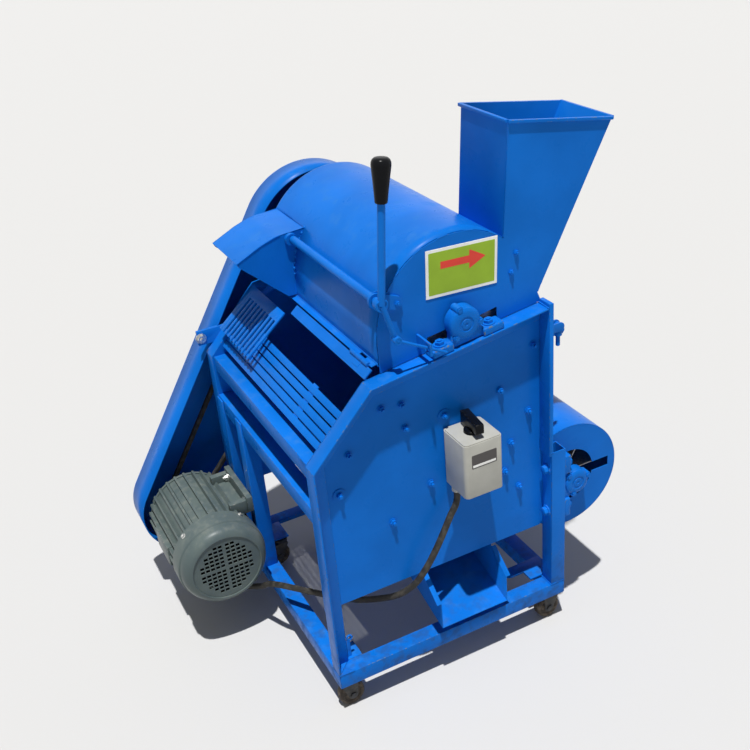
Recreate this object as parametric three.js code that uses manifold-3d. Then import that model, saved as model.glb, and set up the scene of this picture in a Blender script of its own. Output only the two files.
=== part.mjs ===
// Soybean thresher on a castered angle frame, in millimetres, +Z up.
// X runs along the side that carries the switch, Y away from it, and heights are above the floor.
import * as THREE from "three";
import { mergeVertices } from "three/addons/utils/BufferGeometryUtils.js";
import Module from "manifold-3d";

const wasm = await Module();
wasm.setup();

// Clearances and shares that many pieces use
const gap = 0.3;
const overrun = 20;
const weldDistance = 0.001;
const sheet = 1.5;

// Base frame and casters
const baseLength = 480;
const baseWidth = 510;
const casterHeight = 62;
const railSide = 30;
const railWall = 2;
const railBottom = casterHeight;
const railTop = railBottom + railSide;
const wheelRadius = 25;
const wheelWidth = 18;
const casterTrail = 10;
const stemInsetX = 16;
const stemInsetY = 24;
const farStemInsetX = 74;
const farStemInsetY = 48;
const stemRadius = 5;
const stemCapRadius = 14;
const stemCapHeight = 6;
const forkThickness = 2;
const forkRoof = 3;
const forkWheelRoom = 1.5;
const forkReach = 12;
const axleRadius = 4;
const axleHeadRadius = 6.5;
const axleHeadLength = 3;
const treadRound = 4;

// Side frames, bent from angle: a post, a slope and a top leg
const angleLeg = 30;
const angleThickness = 3;
const kneeHeight = 520;
const slopeRun = 112;
const shoulderHeight = 636;
const topLegEnd = 443;
const topLegEndHeight = 679;
const topRise = (topLegEndHeight - shoulderHeight) / (topLegEnd - slopeRun);
const topTilt = Math.atan(topRise);

// Posts at the fan end
const fanPostLeft = 450;
const fanPostSide = 30;
const fanPostTop = 393;
const upperPostLeft = 445;
const upperPostThickness = 8;
const upperPostTop = 686;
const upperPostLap = 6;
const latchHeight = 636;
const latchReach = 17;
const latchEarThickness = 3;
const latchEarHeight = 16;
const latchEarSpace = 10;
const latchSetback = 4;
const latchEyeRadius = 6;
const latchRodRadius = 3.5;
const latchRodLength = 38;
const latchPinRadius = 2.5;
const wingSpan = 26;
const wingHeight = 10;
const wingThickness = 5;

// Side and end panels
const panelBottom = 220;
const panelFace = angleLeg + gap;
const panelBack = panelFace + sheet;
const panelRight = upperPostLeft - gap;
const insideNear = panelBack + gap;
const insideFar = baseWidth - insideNear;
const panelWasherRadius = 9;
const panelWasherThickness = 1.5;
const panelNutRadius = 6.5;
const panelNutHeight = 6;

// Rails across the straw end
const middleRailSetback = 4;
const lowerRailTop = 437;
const hingeStripWidth = 30;
const hingeStripSlope = 0.716;
const hingeStripFootX = 116;
const hingeStripFootHeight = 639;
const hingeStripTop = 19;
const stripEnd = baseWidth - 184;

// Drum, its bearings and pulley
const drumX = 288;
const bearingHeight = 36.5;
const drumShaftRadius = 12.5;
const bearingCapRadius = 28;
const bearingCapBevel = 3;
const bearingDepth = 20;
const bearingNose = 3;
const bearingFootLength = 134;
const bearingFootHeight = 14;
const bearingFootDepth = 26;
const bearingBoltSpacing = 92;
const bearingBoltRadius = 8;
const bearingBoltHeight = 7;
const bearingWasherRadius = 11;
const bearingWasherThickness = 2;
const capBoltRadius = 4.5;
const capBoltReach = 2;
const capBoltStart = 105;
const capBoltTurn = 120;
const shaftStart = (angleLeg - bearingDepth - bearingNose) / 2 + gap;
const drumDiscRadius = 112;
const drumDiscThickness = 4;
const drumEndRoom = 14;
const beaterCount = 6;
const beaterHeight = 14;
const beaterThickness = 8;
const pegCount = 5;
const pegRadius = 4.5;
const pegHeight = 16;
const pulleyStart = baseWidth + 31;
const grooveWidth = 13;
const grooveDepth = 9;
const grooveFlare = 2;
const pulleyWall = 4;
const motorBeltRadiusAtDrum = 90;
const fanBeltRadiusAtDrum = 62;
const beltThickness = 8;
const beltWidth = 10;

// Fan
const fanX = 510;
const fanHeight = 306;
const fanShaftRadius = 10;
const fanHousingRadius = 106;
const fanInletRadius = 54;
const fanSlotHeight = 20;
const fanSlotReach = 90;
const fanBladeCount = 6;
const fanBladeRadius = 88;
const fanBladeRoot = 30;
const fanBladeThickness = 2;
const fanHubRadius = 40;
const fanHubThickness = 3;
const fanHubInset = 90;
const fanEndRoom = 12;
const fanBearingHeight = fanX - fanPostLeft - fanPostSide - gap;
const fanBearingCapRadius = 26;
const fanPulleyRadius = 45;

// Motor, standing sideways with its feet against two slotted rails
const motorAxisHeight = 184;
const motorCentreHeight = 90;
const motorRailThickness = 3;
const motorX = -gap - motorRailThickness - gap - motorCentreHeight;
const motorFootNear = baseWidth - 145;
const motorFootSpacing = 100;
const motorFootSpread = 70;
const motorFootThickness = 12;
const motorFootWidth = 34;
const motorFootWebThickness = 12;
const motorFootOverhang = 16;
const motorFinRadius = 86;
const motorFinRoot = 79;
const motorFinCount = 20;
const motorFinShare = 0.4;
const motorStatorStart = baseWidth - 170;
const motorStatorEnd = baseWidth - 2;
const motorShieldEnd = baseWidth + 28;
const motorShieldNose = 44;
const motorCoverStart = baseWidth - 232;
const motorCoverRadius = 88;
const motorCoverRound = 20;
const motorCoverWall = 1.5;
const grilleRadius = 60;
const grilleHoleHeight = 6;
const grilleStepZ = 11;
const grilleCross = 6;
const motorShaftRadius = 12;
const motorPulleyRadius = 40;
const coolingFanRadius = 66;
const coolingFanThickness = 3;
const coolingBladeCount = 7;
const coolingBladeHeight = 22;
const coolingBladeThickness = 2.5;
const coolingFanInset = 38;
const terminalBoxWidth = 80;
const terminalBoxLength = 80;
const terminalBoxHeight = 40;
const terminalBoxStart = baseWidth - 130;
const terminalGlandInset = 20;
const motorBoltRadius = 8.5;
const motorBoltHeight = 6;
const motorRailWidth = 28;
const motorRailSlotWidth = 9;
const motorRailSlotLength = 40;

// Belt guard
const guardFace = baseWidth + gap;
const guardBack = baseWidth + 75;
const guardDrumRadius = 143;
const guardMotorRadius = 98;
const guardShiftX = -15;
const guardShiftZ = -12;
const guardWall = 2;
const guardWindowRoom = 14;
const guardTabWidth = 46;
const guardTabHeight = 30;
const guardTabThickness = 3;
const guardTabHeightAboveFloor = 551;
const guardTabOutside = 14;

// Hood over the drum
const hoodRadius = 144;
const hoodFootHeight = 656;
const hingeX = 132;
const hingeHeight = 654;
const knuckleRadius = 4.5;
const knuckleLength = 20;
const knuckleRoom = 0.8;
const hingeNearY = 75;
const hingeFarY = baseWidth - 75;
const rimRodRadius = 3.2;
const plateLift = 1;
const bearingWindowLeft = 231;
const bearingWindowRight = 362;
const bearingWindowHeight = 26;
const shaftSlotRoom = 11.5;
const shaftSlotFlare = 8;
const hoodSillEnd = 449;

// Hopper
const hopperBack = 165;
const rimLeftX = 391;
const rimLeftHeight = 994;
const rimRightX = 586;
const rimRightHeight = 962;
const footLeftX = 377;
const footLeftHeight = 806;
const footRightX = 442;
const footRightHeight = 698;
const rimLip = 4;
const rimDepth = 5;

// Straw outlet on the hood
const outletNear = baseWidth - 160;
const outletFar = baseWidth - 34;
const outletCrestX = 115;
const outletCrestHeight = 778;
const outletBrowX = 83;
const outletBrowHeight = 767;
const outletTipX = 38;
const outletTipHeight = 746;
const outletLipX = 42;
const outletLipHeight = 738;
const outletHeelX = 126;
const outletHeelHeight = 661;
const outletRootRise = 85;
const outletHoleSill = 668;
const outletHoleInset = 2;

// Outlet lever, its shaft, gate and link
const leverX = 145;
const leverHeight = 768;
const leverShaftRadius = 7;
const leverShaftStart = 4;
const leverHubRadius = 11;
const leverHubLength = 12;
const handleTopX = 160;
const handleTopHeight = 947;
const handleRadius = 6;
const armEndX = 163;
const armEndHeight = 707;
const armRadius = 4.5;
const linkPinRadius = 3;
const linkEyeRadius = 6.5;
const linkEyeLength = 5;
const linkRadius = 2.5;
const linkLength = 96;
const linkGuideX = 214;
const linkGuideHeight = 679;
const linkGuideThickness = 4;
const linkGuideSide = 22;
const linkRoom = 4.6;
const lugX = 179;
const lugHeight = 755;
const lugRadius = 12;
const lugThickness = 5;
const gripLength = 66;
const gripFootRadius = 9.5;
const gripHeadRadius = 15;
const gripRound = 6;
const gripSocket = 22;
const gateHeight = 92;
const gateThickness = 2;
const gateCollarWall = 2;
const gateRoom = 1;
const farBushLength = 8;
const bushWall = 4;

// Sign on the hood's end plate
const signX = 233;
const signHeight = 743;
const signWidth = 130;
const signTall = 80;
const signTilt = -0.045;
const signThickness = 1;

// Concave under the drum, and the sheets that lead the grain out
const concaveRadius = 133;
const concaveDepth = 9;
const concaveRibThickness = 3;
const concaveBarRadius = 3.2;
const concaveBarCount = 13;
const concaveStart = 197;
const concaveEnd = 343;
const slatCount = 5;
const slatWidth = 12;
const slatPitch = 15;
const slatThickness = 2;
const slatStart = 30;
const slatSetback = 5;
const strapWidth = 18;
const strapInset = 100;
const combNear = stripEnd + gap;
const combFootX = 27;
const combFootHeight = 574;
const combLength = 104;
const combSlope = 0.698;
const combFingerCount = 10;
const combFingerWidth = 7;
const combThickness = 3;
const combHead = 22;
const combMargin = 12;
const combToe = 6;
const combSkirt = 30;
const deckFar = insideFar - sheet - gap;
const chuteLeft = 200;
const chuteRight = 338;
const chuteLipY = -18;
const chuteLipHeight = 120;
const chuteRise = 0.3235;
const chuteMouthHeight = 57;
const chuteMouthTopHeight = 215;
const chuteInsideTop = 294;
const chuteFlange = 8;
const deflectorTopX = 75;
const deflectorTopHeight = 514;
const windBoardFoot = 230;

// Switch and cable
const switchLeft = 248;
const switchWidth = 74;
const switchDepth = 72;
const switchBottom = 398;
const switchTall = 105;
const switchRound = 8;
const switchLidHeight = 10;
const knobRadius = 15;
const knobHeight = 9;
const knobBarLength = 58;
const knobBarWidth = 14;
const knobBarHeight = 19;
const glandRadius = 9;
const glandLength = 12;
const switchGlandX = 258;
const switchGlandY = 8;
const cableRadius = 6;
const cableSides = 8;
const cableSteps = 24;

// Small fittings of the base
const cornerPlateLength = 29;
const cornerPlateWidth = 39;
const cornerPlateThickness = 3;
const farPlateReach = 51;
const farPlateLength = 57;
const tabSetback = 6;
const tabInset = 4;
const tabWidth = 7;
const tabThickness = 3;
const tabHeight = 37;
const ringRadius = 6.5;
const ringWire = 3;
const anchorReach = 50;
const anchorLength = 50;
const anchorThickness = 3;

// Sides of round pieces
const coarse = 8;
const medium = 16;
const fine = 24;
const hexagon = 6;

// Solids
const axes = {
  x: new THREE.Matrix4().makeBasis(
    new THREE.Vector3(0, 1, 0),
    new THREE.Vector3(0, 0, 1),
    new THREE.Vector3(1, 0, 0),
  ),
  y: new THREE.Matrix4().makeBasis(
    new THREE.Vector3(1, 0, 0),
    new THREE.Vector3(0, 0, 1),
    new THREE.Vector3(0, -1, 0),
  ),
  z: new THREE.Matrix4(),
};

function solid(geometry) {
  const bare = geometry.index ? geometry.toNonIndexed() : geometry.clone();
  const position = new THREE.BufferGeometry();
  position.setAttribute("position", bare.getAttribute("position"));
  const merged = mergeVertices(position, weldDistance);
  const corners = [];
  for (let i = 0; i < merged.index.count; i += 3) {
    const [a, b, c] = [0, 1, 2].map((j) => merged.index.getX(i + j));
    if (a !== b && b !== c && c !== a) corners.push(a, b, c);
  }
  const data = {
    numProp: 3,
    vertProperties: merged.attributes.position.array,
    triVerts: new Uint32Array(corners),
  };
  return new wasm.Manifold(new wasm.Mesh(data));
}

function geometryOf(body) {
  const { numProp, vertProperties, triVerts } = body.getMesh();
  const geometry = new THREE.BufferGeometry();
  geometry.setAttribute("position", new THREE.BufferAttribute(vertProperties, numProp));
  geometry.setIndex(new THREE.BufferAttribute(triVerts, 1));
  return geometry;
}

function moved(body, matrix) {
  return solid(geometryOf(body).applyMatrix4(matrix));
}

function join(...bodies) {
  return bodies.flat().reduce((sum, next) => sum.add(next));
}

function cut(body, ...tools) {
  return tools.flat().reduce((left, tool) => left.subtract(tool), body);
}

function box(x0, x1, y0, y1, z0, z1) {
  const geometry = new THREE.BoxGeometry(x1 - x0, y1 - y0, z1 - z0);
  return solid(geometry.translate((x0 + x1) / 2, (y0 + y1) / 2, (z0 + z1) / 2));
}

// An outline extruded along an axis: its points are the other two coordinates, in X, Y, Z order.
function prism(axis, points, from, to) {
  const outline = new THREE.Shape(points.map(([u, v]) => new THREE.Vector2(u, v)));
  const geometry = new THREE.ExtrudeGeometry(outline, { depth: to - from, bevelEnabled: false });
  geometry.applyMatrix4(axes[axis]);
  const shift = new THREE.Vector3(0, 0, 1).applyMatrix4(axes[axis]);
  return solid(geometry.translate(...shift.multiplyScalar(axis === "y" ? -to : from)));
}

function arc(u, v, radius, start, end, steps) {
  const points = [];
  for (let i = 0; i <= steps; i += 1) {
    const angle = THREE.MathUtils.degToRad(start + ((end - start) * i) / steps);
    points.push([u + radius * Math.cos(angle), v + radius * Math.sin(angle)]);
  }
  return points;
}

function disc(axis, u, v, radius, from, to, sides = medium) {
  return prism(axis, arc(u, v, radius, 0, 360, sides).slice(0, -1), from, to);
}

function ring(axis, u, v, outer, inner, from, to, sides = medium) {
  return cut(
    disc(axis, u, v, outer, from, to, sides),
    disc(axis, u, v, inner, from - overrun, to + overrun, sides),
  );
}

// A round bar between two points.
function bar(from, to, radius, sides = coarse) {
  const a = new THREE.Vector3(...from);
  const b = new THREE.Vector3(...to);
  const geometry = new THREE.CylinderGeometry(radius, radius, a.distanceTo(b), sides);
  const turn = new THREE.Quaternion().setFromUnitVectors(
    new THREE.Vector3(0, 1, 0),
    b.clone().sub(a).normalize(),
  );
  geometry.applyQuaternion(turn);
  return solid(geometry.translate(...a.add(b).multiplyScalar(1 / 2)));
}

// A profile of radius and place turned round the Y axis.
function lathe(profile, sides = medium) {
  let area = 0;
  profile.forEach(([r, y], i) => {
    const [nextR, nextY] = profile[(i + 1) % profile.length];
    area += r * nextY - nextR * y;
  });
  const ordered = area < 0 ? [...profile].reverse() : [...profile];
  ordered.push(ordered[0]);
  const points = ordered.map(([r, y]) => new THREE.Vector2(r, y));
  return solid(new THREE.LatheGeometry(points, sides));
}

// The tight loop round two circles.
function loop(u1, v1, r1, u2, v2, r2, steps = medium) {
  const heading = THREE.MathUtils.radToDeg(Math.atan2(v2 - v1, u2 - u1));
  const spread = THREE.MathUtils.radToDeg(Math.acos((r1 - r2) / Math.hypot(u2 - u1, v2 - v1)));
  return [
    ...arc(u1, v1, r1, heading + spread, heading + 360 - spread, steps),
    ...arc(u2, v2, r2, heading - spread, heading + spread, steps),
  ];
}

// A path moved to its right-hand side, with mitred corners.
function offset(path, distance) {
  const normals = path.slice(1).map(([u, v], i) => {
    const along = new THREE.Vector2(u - path[i][0], v - path[i][1]).normalize();
    return new THREE.Vector2(along.y, -along.x);
  });
  return path.map(([u, v], i) => {
    const before = normals[Math.max(i - 1, 0)];
    const after = normals[Math.min(i, normals.length - 1)];
    const mitre = before.clone().add(after).normalize();
    const reach = distance / mitre.dot(before);
    return [u + mitre.x * reach, v + mitre.y * reach];
  });
}

function band(path, width) {
  return [...path, ...offset(path, width).reverse()];
}

// Ranges of Y measured inwards from the near or the far side.
function across(near, y0, y1) {
  return near ? [y0, y1] : [baseWidth - y1, baseWidth - y0];
}

function topLine(x) {
  return shoulderHeight + (x - slopeRun) * topRise;
}

const drumHeight = topLine(drumX) + (bearingHeight + gap) / Math.cos(topTilt);
const motorBeltY = pulleyStart + pulleyWall + grooveWidth / 2;
const fanBeltY = motorBeltY + grooveWidth + pulleyWall;
const pulleyEnd = fanBeltY + grooveWidth / 2 + pulleyWall;

// Materials
function material(colour, roughness, metalness) {
  return new THREE.MeshStandardMaterial({ color: colour, roughness, metalness });
}

const bluePaint = material(0x0f6fe0, 0.3, 0.1);
const motorPaint = material(0x5f7a7e, 0.45, 0.1);
const steel = material(0xb8bcc0, 0.35, 0.9);
const rubber = material(0x2b2620, 0.85, 0);
const blackPlastic = material(0x111214, 0.35, 0);
const greyPlastic = material(0xb9b9b0, 0.5, 0);
const signFace = material(0x8fae2b, 0.5, 0);
const cableSkin = material(0x2a2722, 0.6, 0);

const machine = new THREE.Group();

function add(name, body, look, parent = machine) {
  const geometry = geometryOf(body).toNonIndexed();
  geometry.computeVertexNormals();
  const mesh = new THREE.Mesh(geometry, look);
  mesh.name = name;
  parent.add(mesh);
  return mesh;
}

function groupAt(x, y, z) {
  const group = new THREE.Group();
  group.position.set(x, y, z);
  machine.add(group);
  return group;
}

// A bolt head with its washer, standing on a plane and pointing along an axis.
function bolt(axis, u, v, seat, outward, sizes) {
  const layers = [
    [sizes.washer, sizes.washerThickness, coarse],
    [sizes.head, sizes.headHeight, hexagon],
  ];
  let level = seat;
  return join(
    layers
      .filter(([radius, height]) => radius * height > 0)
      .map(([radius, height, sides]) => {
        const next = level + outward * height;
        const body = disc(axis, u, v, radius, Math.min(level, next), Math.max(level, next), sides);
        level = next;
        return body;
      }),
  );
}

const panelNut = { washer: 0, washerThickness: 0, head: panelNutRadius, headHeight: panelNutHeight };
const tabBolt = {
  washer: panelWasherRadius,
  washerThickness: panelWasherThickness,
  head: panelNutRadius,
  headHeight: panelNutHeight,
};
const bearingBolt = {
  washer: bearingWasherRadius,
  washerThickness: bearingWasherThickness,
  head: bearingBoltRadius,
  headHeight: bearingBoltHeight,
};
const motorBolt = {
  washer: bearingWasherRadius,
  washerThickness: bearingWasherThickness,
  head: motorBoltRadius,
  headHeight: motorBoltHeight,
};

// Base rails with mitred ends: square tube, but angle on the far side
function baseRails() {
  const inner = railSide;
  const [length, width] = [baseLength, baseWidth];
  const hollow = [railBottom + railWall, railTop - railWall];
  for (const near of [true, false]) {
    const [y0, y1] = across(near, railWall, inner - railWall);
    const plan = [
      [gap, 0],
      [length - gap, 0],
      [length - inner - gap, inner],
      [inner + gap, inner],
    ].map(([x, y]) => [x, near ? y : width - y]);
    const tube = box(-overrun, length + overrun, y0, y1, ...hollow);
    const inside = box(
      -overrun,
      length + overrun,
      width - inner - overrun,
      width - angleThickness,
      railBottom - overrun,
      railTop - angleThickness,
    );
    const body = cut(prism("z", plan, railBottom, railTop), near ? tube : inside);
    add(near ? "rail_near" : "rail_far", body, bluePaint);
  }
  for (const left of [true, false]) {
    const flip = (x) => (left ? x : length - x);
    const plan = [
      [0, gap],
      [inner, inner + gap],
      [inner, width - inner - gap],
      [0, width - gap],
    ].map(([x, y]) => [flip(x), y]);
    const sides = [flip(railWall), flip(inner - railWall)].sort((a, b) => a - b);
    let body = prism("z", plan, railBottom, railTop);
    body = cut(body, box(...sides, -overrun, width + overrun, ...hollow));
    body = join(body, left ? cornerPlate() : anchorPlate(), farPlate(left));
    add(left ? "rail_left" : "rail_right", body, bluePaint);
  }
}

// Plate in a far corner, over the caster
function farPlate(left) {
  const flip = (x) => (left ? x : baseLength - x);
  const sides = [flip(railSide - railWall / 2), flip(railSide + farPlateReach)].sort((a, b) => a - b);
  const far = baseWidth - railSide - gap;
  return box(...sides, far - farPlateLength, far, railTop - cornerPlateThickness, railTop);
}

// Plate in the near left corner, with a ring standing on a tab
function cornerPlate() {
  const near = railSide + gap;
  const y = near + tabSetback;
  const tabLeft = railSide + tabInset;
  return join(
    box(
      railSide - railWall / 2,
      railSide + cornerPlateLength,
      near,
      near + cornerPlateWidth,
      railTop - cornerPlateThickness,
      railTop,
    ),
    box(
      tabLeft,
      tabLeft + tabWidth,
      y,
      y + tabThickness,
      railTop - cornerPlateThickness / 2,
      railTop + tabHeight,
    ),
    ring(
      "y",
      tabLeft + tabWidth,
      railTop + tabHeight + ringRadius - ringWire / 2,
      ringRadius,
      ringRadius - ringWire,
      y,
      y + tabThickness,
      coarse,
    ),
  );
}

// Flat plate with a round nose inside the near right corner
function anchorPlate() {
  const right = baseLength - railWall;
  const left = baseLength - railSide - anchorReach;
  const near = railSide + anchorThickness;
  const nose = anchorLength / 4;
  const outline = [
    [right, near],
    [right, near + anchorLength],
    [left + anchorReach, near + anchorLength],
    ...arc(left, near + anchorLength - nose, nose, 90, 270, 6),
    [left + anchorReach / 2, near + anchorLength - 2 * nose],
    [left + anchorReach / 2, near],
  ];
  return prism("z", outline, railTop - railWall / 2, railTop + anchorThickness);
}

// Casters
function casters() {
  for (const [sideName, near] of [["near", true], ["far", false]]) {
    for (const [endName, left] of [["left", true], ["right", false]]) {
      const insetX = near ? stemInsetX : farStemInsetX;
      const insetY = near ? stemInsetY : farStemInsetY;
      const corner = groupAt(left ? insetX : baseLength - insetX, near ? insetY : baseWidth - insetY, 0);
      if (near !== left) corner.rotation.z = Math.PI;
      const fork = near ? casterFork() : join(casterFork(), farStem());
      add(`caster_fork_${sideName}_${endName}`, fork, steel, corner);
      const wheel = add(`caster_wheel_${sideName}_${endName}`, casterWheel(), rubber, corner);
      wheel.position.set(casterTrail, 0, wheelRadius);
    }
  }
}

function casterFork() {
  const roofTop = casterHeight - gap - stemCapHeight;
  const roofBottom = roofTop - forkRoof;
  const inner = wheelWidth / 2 + forkWheelRoom;
  const outer = inner + forkThickness;
  const cheek = [
    [-stemCapRadius + forkRoof, roofTop],
    [-stemCapRadius + forkRoof, roofBottom],
    ...arc(casterTrail, wheelRadius, axleHeadRadius + forkRoof, 180, 360, 4),
    [casterTrail + forkReach, roofBottom],
    [casterTrail + forkReach, roofTop],
  ];
  return join(
    disc("z", 0, 0, stemCapRadius, roofTop, casterHeight - gap, medium),
    box(-stemCapRadius + forkRoof, casterTrail + forkReach, -outer, outer, roofBottom, roofTop),
    prism("y", cheek, inner, outer),
    prism("y", cheek, -outer, -inner),
    disc("y", casterTrail, wheelRadius, axleRadius, -inner - forkThickness / 2, inner + forkThickness / 2),
    disc("y", casterTrail, wheelRadius, axleHeadRadius, outer - gap, outer + axleHeadLength, 6),
    disc("y", casterTrail, wheelRadius, axleHeadRadius, -outer - axleHeadLength, -outer + gap, 6),
  );
}

// Stem that reaches up to the plate in a far corner
function farStem() {
  const top = railTop - cornerPlateThickness - gap;
  return disc("z", 0, 0, stemRadius, casterHeight - stemCapHeight, top, coarse);
}

function casterWheel() {
  const half = wheelWidth / 2;
  const bore = axleRadius + gap;
  const profile = [
    [bore, -half],
    [wheelRadius - treadRound, -half],
    [wheelRadius, -half + treadRound],
    [wheelRadius, half - treadRound],
    [wheelRadius - treadRound, half],
    [bore, half],
  ];
  return lathe(profile, medium);
}

// Side frames of bent angle
function sideFrames() {
  const path = [
    [0, railTop + gap],
    [0, kneeHeight],
    [slopeRun, shoulderHeight],
    [topLegEnd, topLegEndHeight],
  ];
  for (const near of [true, false]) {
    const flange = prism("y", band(path, angleThickness), ...across(near, 0, angleLeg));
    const web = prism("y", band(path, angleLeg), ...across(near, angleLeg - angleThickness, angleLeg));
    let body = cut(
      join(flange, web),
      box(panelRight, baseLength, -overrun, baseWidth + overrun, kneeHeight, upperPostTop),
    );
    if (!near) body = join(body, guardLug());
    add(near ? "near_side_frame" : "far_side_frame", body, bluePaint);
  }
}

// Lug on the far post that the belt guard's tab is bolted to
function guardLug() {
  const slopeAt = (z) => ((z - kneeHeight) * slopeRun) / (shoulderHeight - kneeHeight);
  const bottom = guardTabHeightAboveFloor - guardTabHeight / 2;
  const back = baseWidth - gap;
  const front = back - guardTabThickness;
  const boltX = -guardTabOutside / 2;
  return join(
    prism(
      "y",
      [
        [-guardTabOutside, bottom],
        [slopeAt(bottom) + angleThickness / 2, bottom],
        [slopeAt(bottom + guardTabHeight) + angleThickness / 2, bottom + guardTabHeight],
        [-guardTabOutside, bottom + guardTabHeight],
      ],
      front,
      back,
    ),
    bolt("y", boltX, guardTabHeightAboveFloor, front, -1, tabBolt),
  );
}

// Posts at the fan end, with the latch's ears on the near one
function rightPosts() {
  const right = fanPostLeft + fanPostSide;
  for (const near of [true, false]) {
    const outerY = across(near, 0, fanPostSide);
    const tube = cut(
      box(fanPostLeft, right, ...outerY, railTop + gap, fanPostTop),
      box(
        fanPostLeft + railWall,
        right - railWall,
        ...across(near, railWall, fanPostSide - railWall),
        railTop - overrun,
        fanPostTop + overrun,
      ),
    );
    const flat = box(
      upperPostLeft,
      upperPostLeft + upperPostThickness,
      ...outerY,
      fanPostTop - upperPostLap,
      upperPostTop,
    );
    const bolts = [1, -1].map((side) =>
      bolt(
        "x",
        near ? fanPostSide / 2 : baseWidth - fanPostSide / 2,
        fanHeight + (side * bearingBoltSpacing) / 2,
        fanPostLeft,
        -1,
        bearingBolt,
      ),
    );
    let body = join(tube, flat, bolts);
    if (near) body = join(body, latchEars());
    add(near ? "near_right_post" : "far_right_post", body, bluePaint);
  }
}

const latchX = upperPostLeft + upperPostThickness + latchReach;
const latchY = latchSetback + latchEarThickness + latchEarSpace / 2;

function latchEars() {
  const left = upperPostLeft + upperPostThickness / 2;
  const bottom = latchHeight - latchEarHeight / 2;
  const half = latchEarSpace / 2;
  const outline = [
    [left, bottom],
    [latchX, bottom],
    ...arc(latchX, latchHeight, latchEarHeight / 2, -60, 60, 5),
    [latchX, bottom + latchEarHeight],
    [left, bottom + latchEarHeight],
  ];
  return join(
    prism("y", outline, latchY - half - latchEarThickness, latchY - half),
    prism("y", outline, latchY + half, latchY + half + latchEarThickness),
    disc("y", latchX, latchHeight, latchPinRadius, latchY - half - gap, latchY + half + gap, coarse),
  );
}

// Swing bolt with a wing nut, hanging from the ears
function latchBolt() {
  const half = latchEarSpace / 2 - 2 * gap;
  const nutZ = -latchRodLength + wingHeight * 2;
  return join(
    ring("y", 0, 0, latchEyeRadius, latchPinRadius + gap, -half, half, coarse),
    bar([0, 0, -latchPinRadius - 2 * gap], [0, 0, -latchRodLength], latchRodRadius, 8),
    bar([0, 0, nutZ], [0, 0, nutZ + wingHeight], latchRodRadius * 2, 8),
    box(-wingSpan / 2, wingSpan / 2, -wingThickness / 2, wingThickness / 2, nutZ, nutZ + wingHeight),
  );
}

// Panels
const panelBoltShares = [
  [0.405, 0.67],
  [0.169, 0.64],
  [0.115, 0.49],
  [0.322, 0.288],
  [0.497, 0.396],
  [0.864, 0.447],
  [0.832, 0.327],
  [0.897, 0.233],
  [0.315, 0.779],
  [0.396, 0.77],
  [0.569, 0.668],
  [0.947, 0.561],
  [0.97, 0.836],
  [0.819, 0.692],
];

function panels() {
  const outline = [
    [0, panelBottom],
    [panelRight, panelBottom],
    [panelRight, topLine(panelRight)],
    [slopeRun, shoulderHeight],
    [0, kneeHeight],
  ];
  const tall = topLegEndHeight - panelBottom;
  for (const near of [true, false]) {
    const [y0, y1] = across(near, panelFace, panelBack);
    const seat = near ? y0 : y1;
    const bolts = panelBoltShares
      .map(([acrossShare, upShare]) => [
        acrossShare * panelRight,
        panelBottom + upShare * tall,
      ])
      .map(([x, z]) => bolt("y", x, z, seat, near ? -1 : 1, panelNut));
    add(near ? "near_panel" : "far_panel", join(prism("y", outline, y0, y1), bolts), bluePaint);
  }
  const top = topLine(panelRight) - angleThickness;
  const endBottom = fanHeight + Math.sqrt(fanHousingRadius ** 2 - (fanX - upperPostLeft) ** 2) + gap;
  const end = box(panelRight - sheet, panelRight, insideNear, insideFar, endBottom, top);
  add("end_panel", end, bluePaint);
}

// Rails across the straw end: a strip under the hood's hinge, and two angles
const stripAlong = new THREE.Vector2(Math.cos(hingeStripSlope), Math.sin(hingeStripSlope));

function strawEndRails() {
  const foot = [hingeStripFootX, hingeStripFootHeight];
  const head = [foot[0] + stripAlong.x * hingeStripTop, foot[1] + stripAlong.y * hingeStripTop];
  const leg = [foot[0] + stripAlong.y * hingeStripWidth, foot[1] - stripAlong.x * hingeStripWidth];
  const strip = prism("y", band([leg, foot, head], angleThickness), insideNear, stripEnd);
  const room = disc(
    "y",
    hingeX,
    hingeHeight,
    knuckleRadius + knuckleRoom,
    hingeNearY - knuckleLength * 2,
    hingeNearY + knuckleLength * 2,
  );
  add("top_outlet_angle", join(cut(strip, room), hingeBridge(), hingeKnuckle(hingeNearY, 0)), bluePaint);

  const middle = [
    [middleRailSetback, kneeHeight - angleLeg],
    [middleRailSetback, kneeHeight],
    [middleRailSetback + angleLeg, kneeHeight],
  ];
  add("middle_outlet_angle", prism("y", band(middle, angleThickness), insideNear, insideFar), bluePaint);
  const lower = [
    [0, lowerRailTop - angleLeg],
    [0, lowerRailTop],
    [angleLeg, lowerRailTop],
  ];
  add("lower_outlet_angle", prism("y", band(lower, angleThickness), insideNear, insideFar), bluePaint);
}

// One knuckle of the hood's hinge: place 0 is the fixed one, -1 and 1 ride on the hood.
function hingeKnuckle(y, place) {
  const centre = y + place * (knuckleLength + gap);
  const from = centre - knuckleLength / 2;
  return disc("y", hingeX, hingeHeight, knuckleRadius, from, from + knuckleLength, coarse);
}

// Leaf that carries the near fixed knuckle on the strip
function hingeBridge() {
  const reach = hingeStripWidth / 2;
  const from = [hingeX - stripAlong.x * reach, hingeHeight - stripAlong.y * reach];
  const leaf = band([from, [hingeX, hingeHeight]], angleThickness);
  return prism("y", leaf, hingeNearY - knuckleLength / 2, hingeNearY + knuckleLength / 2);
}

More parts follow.
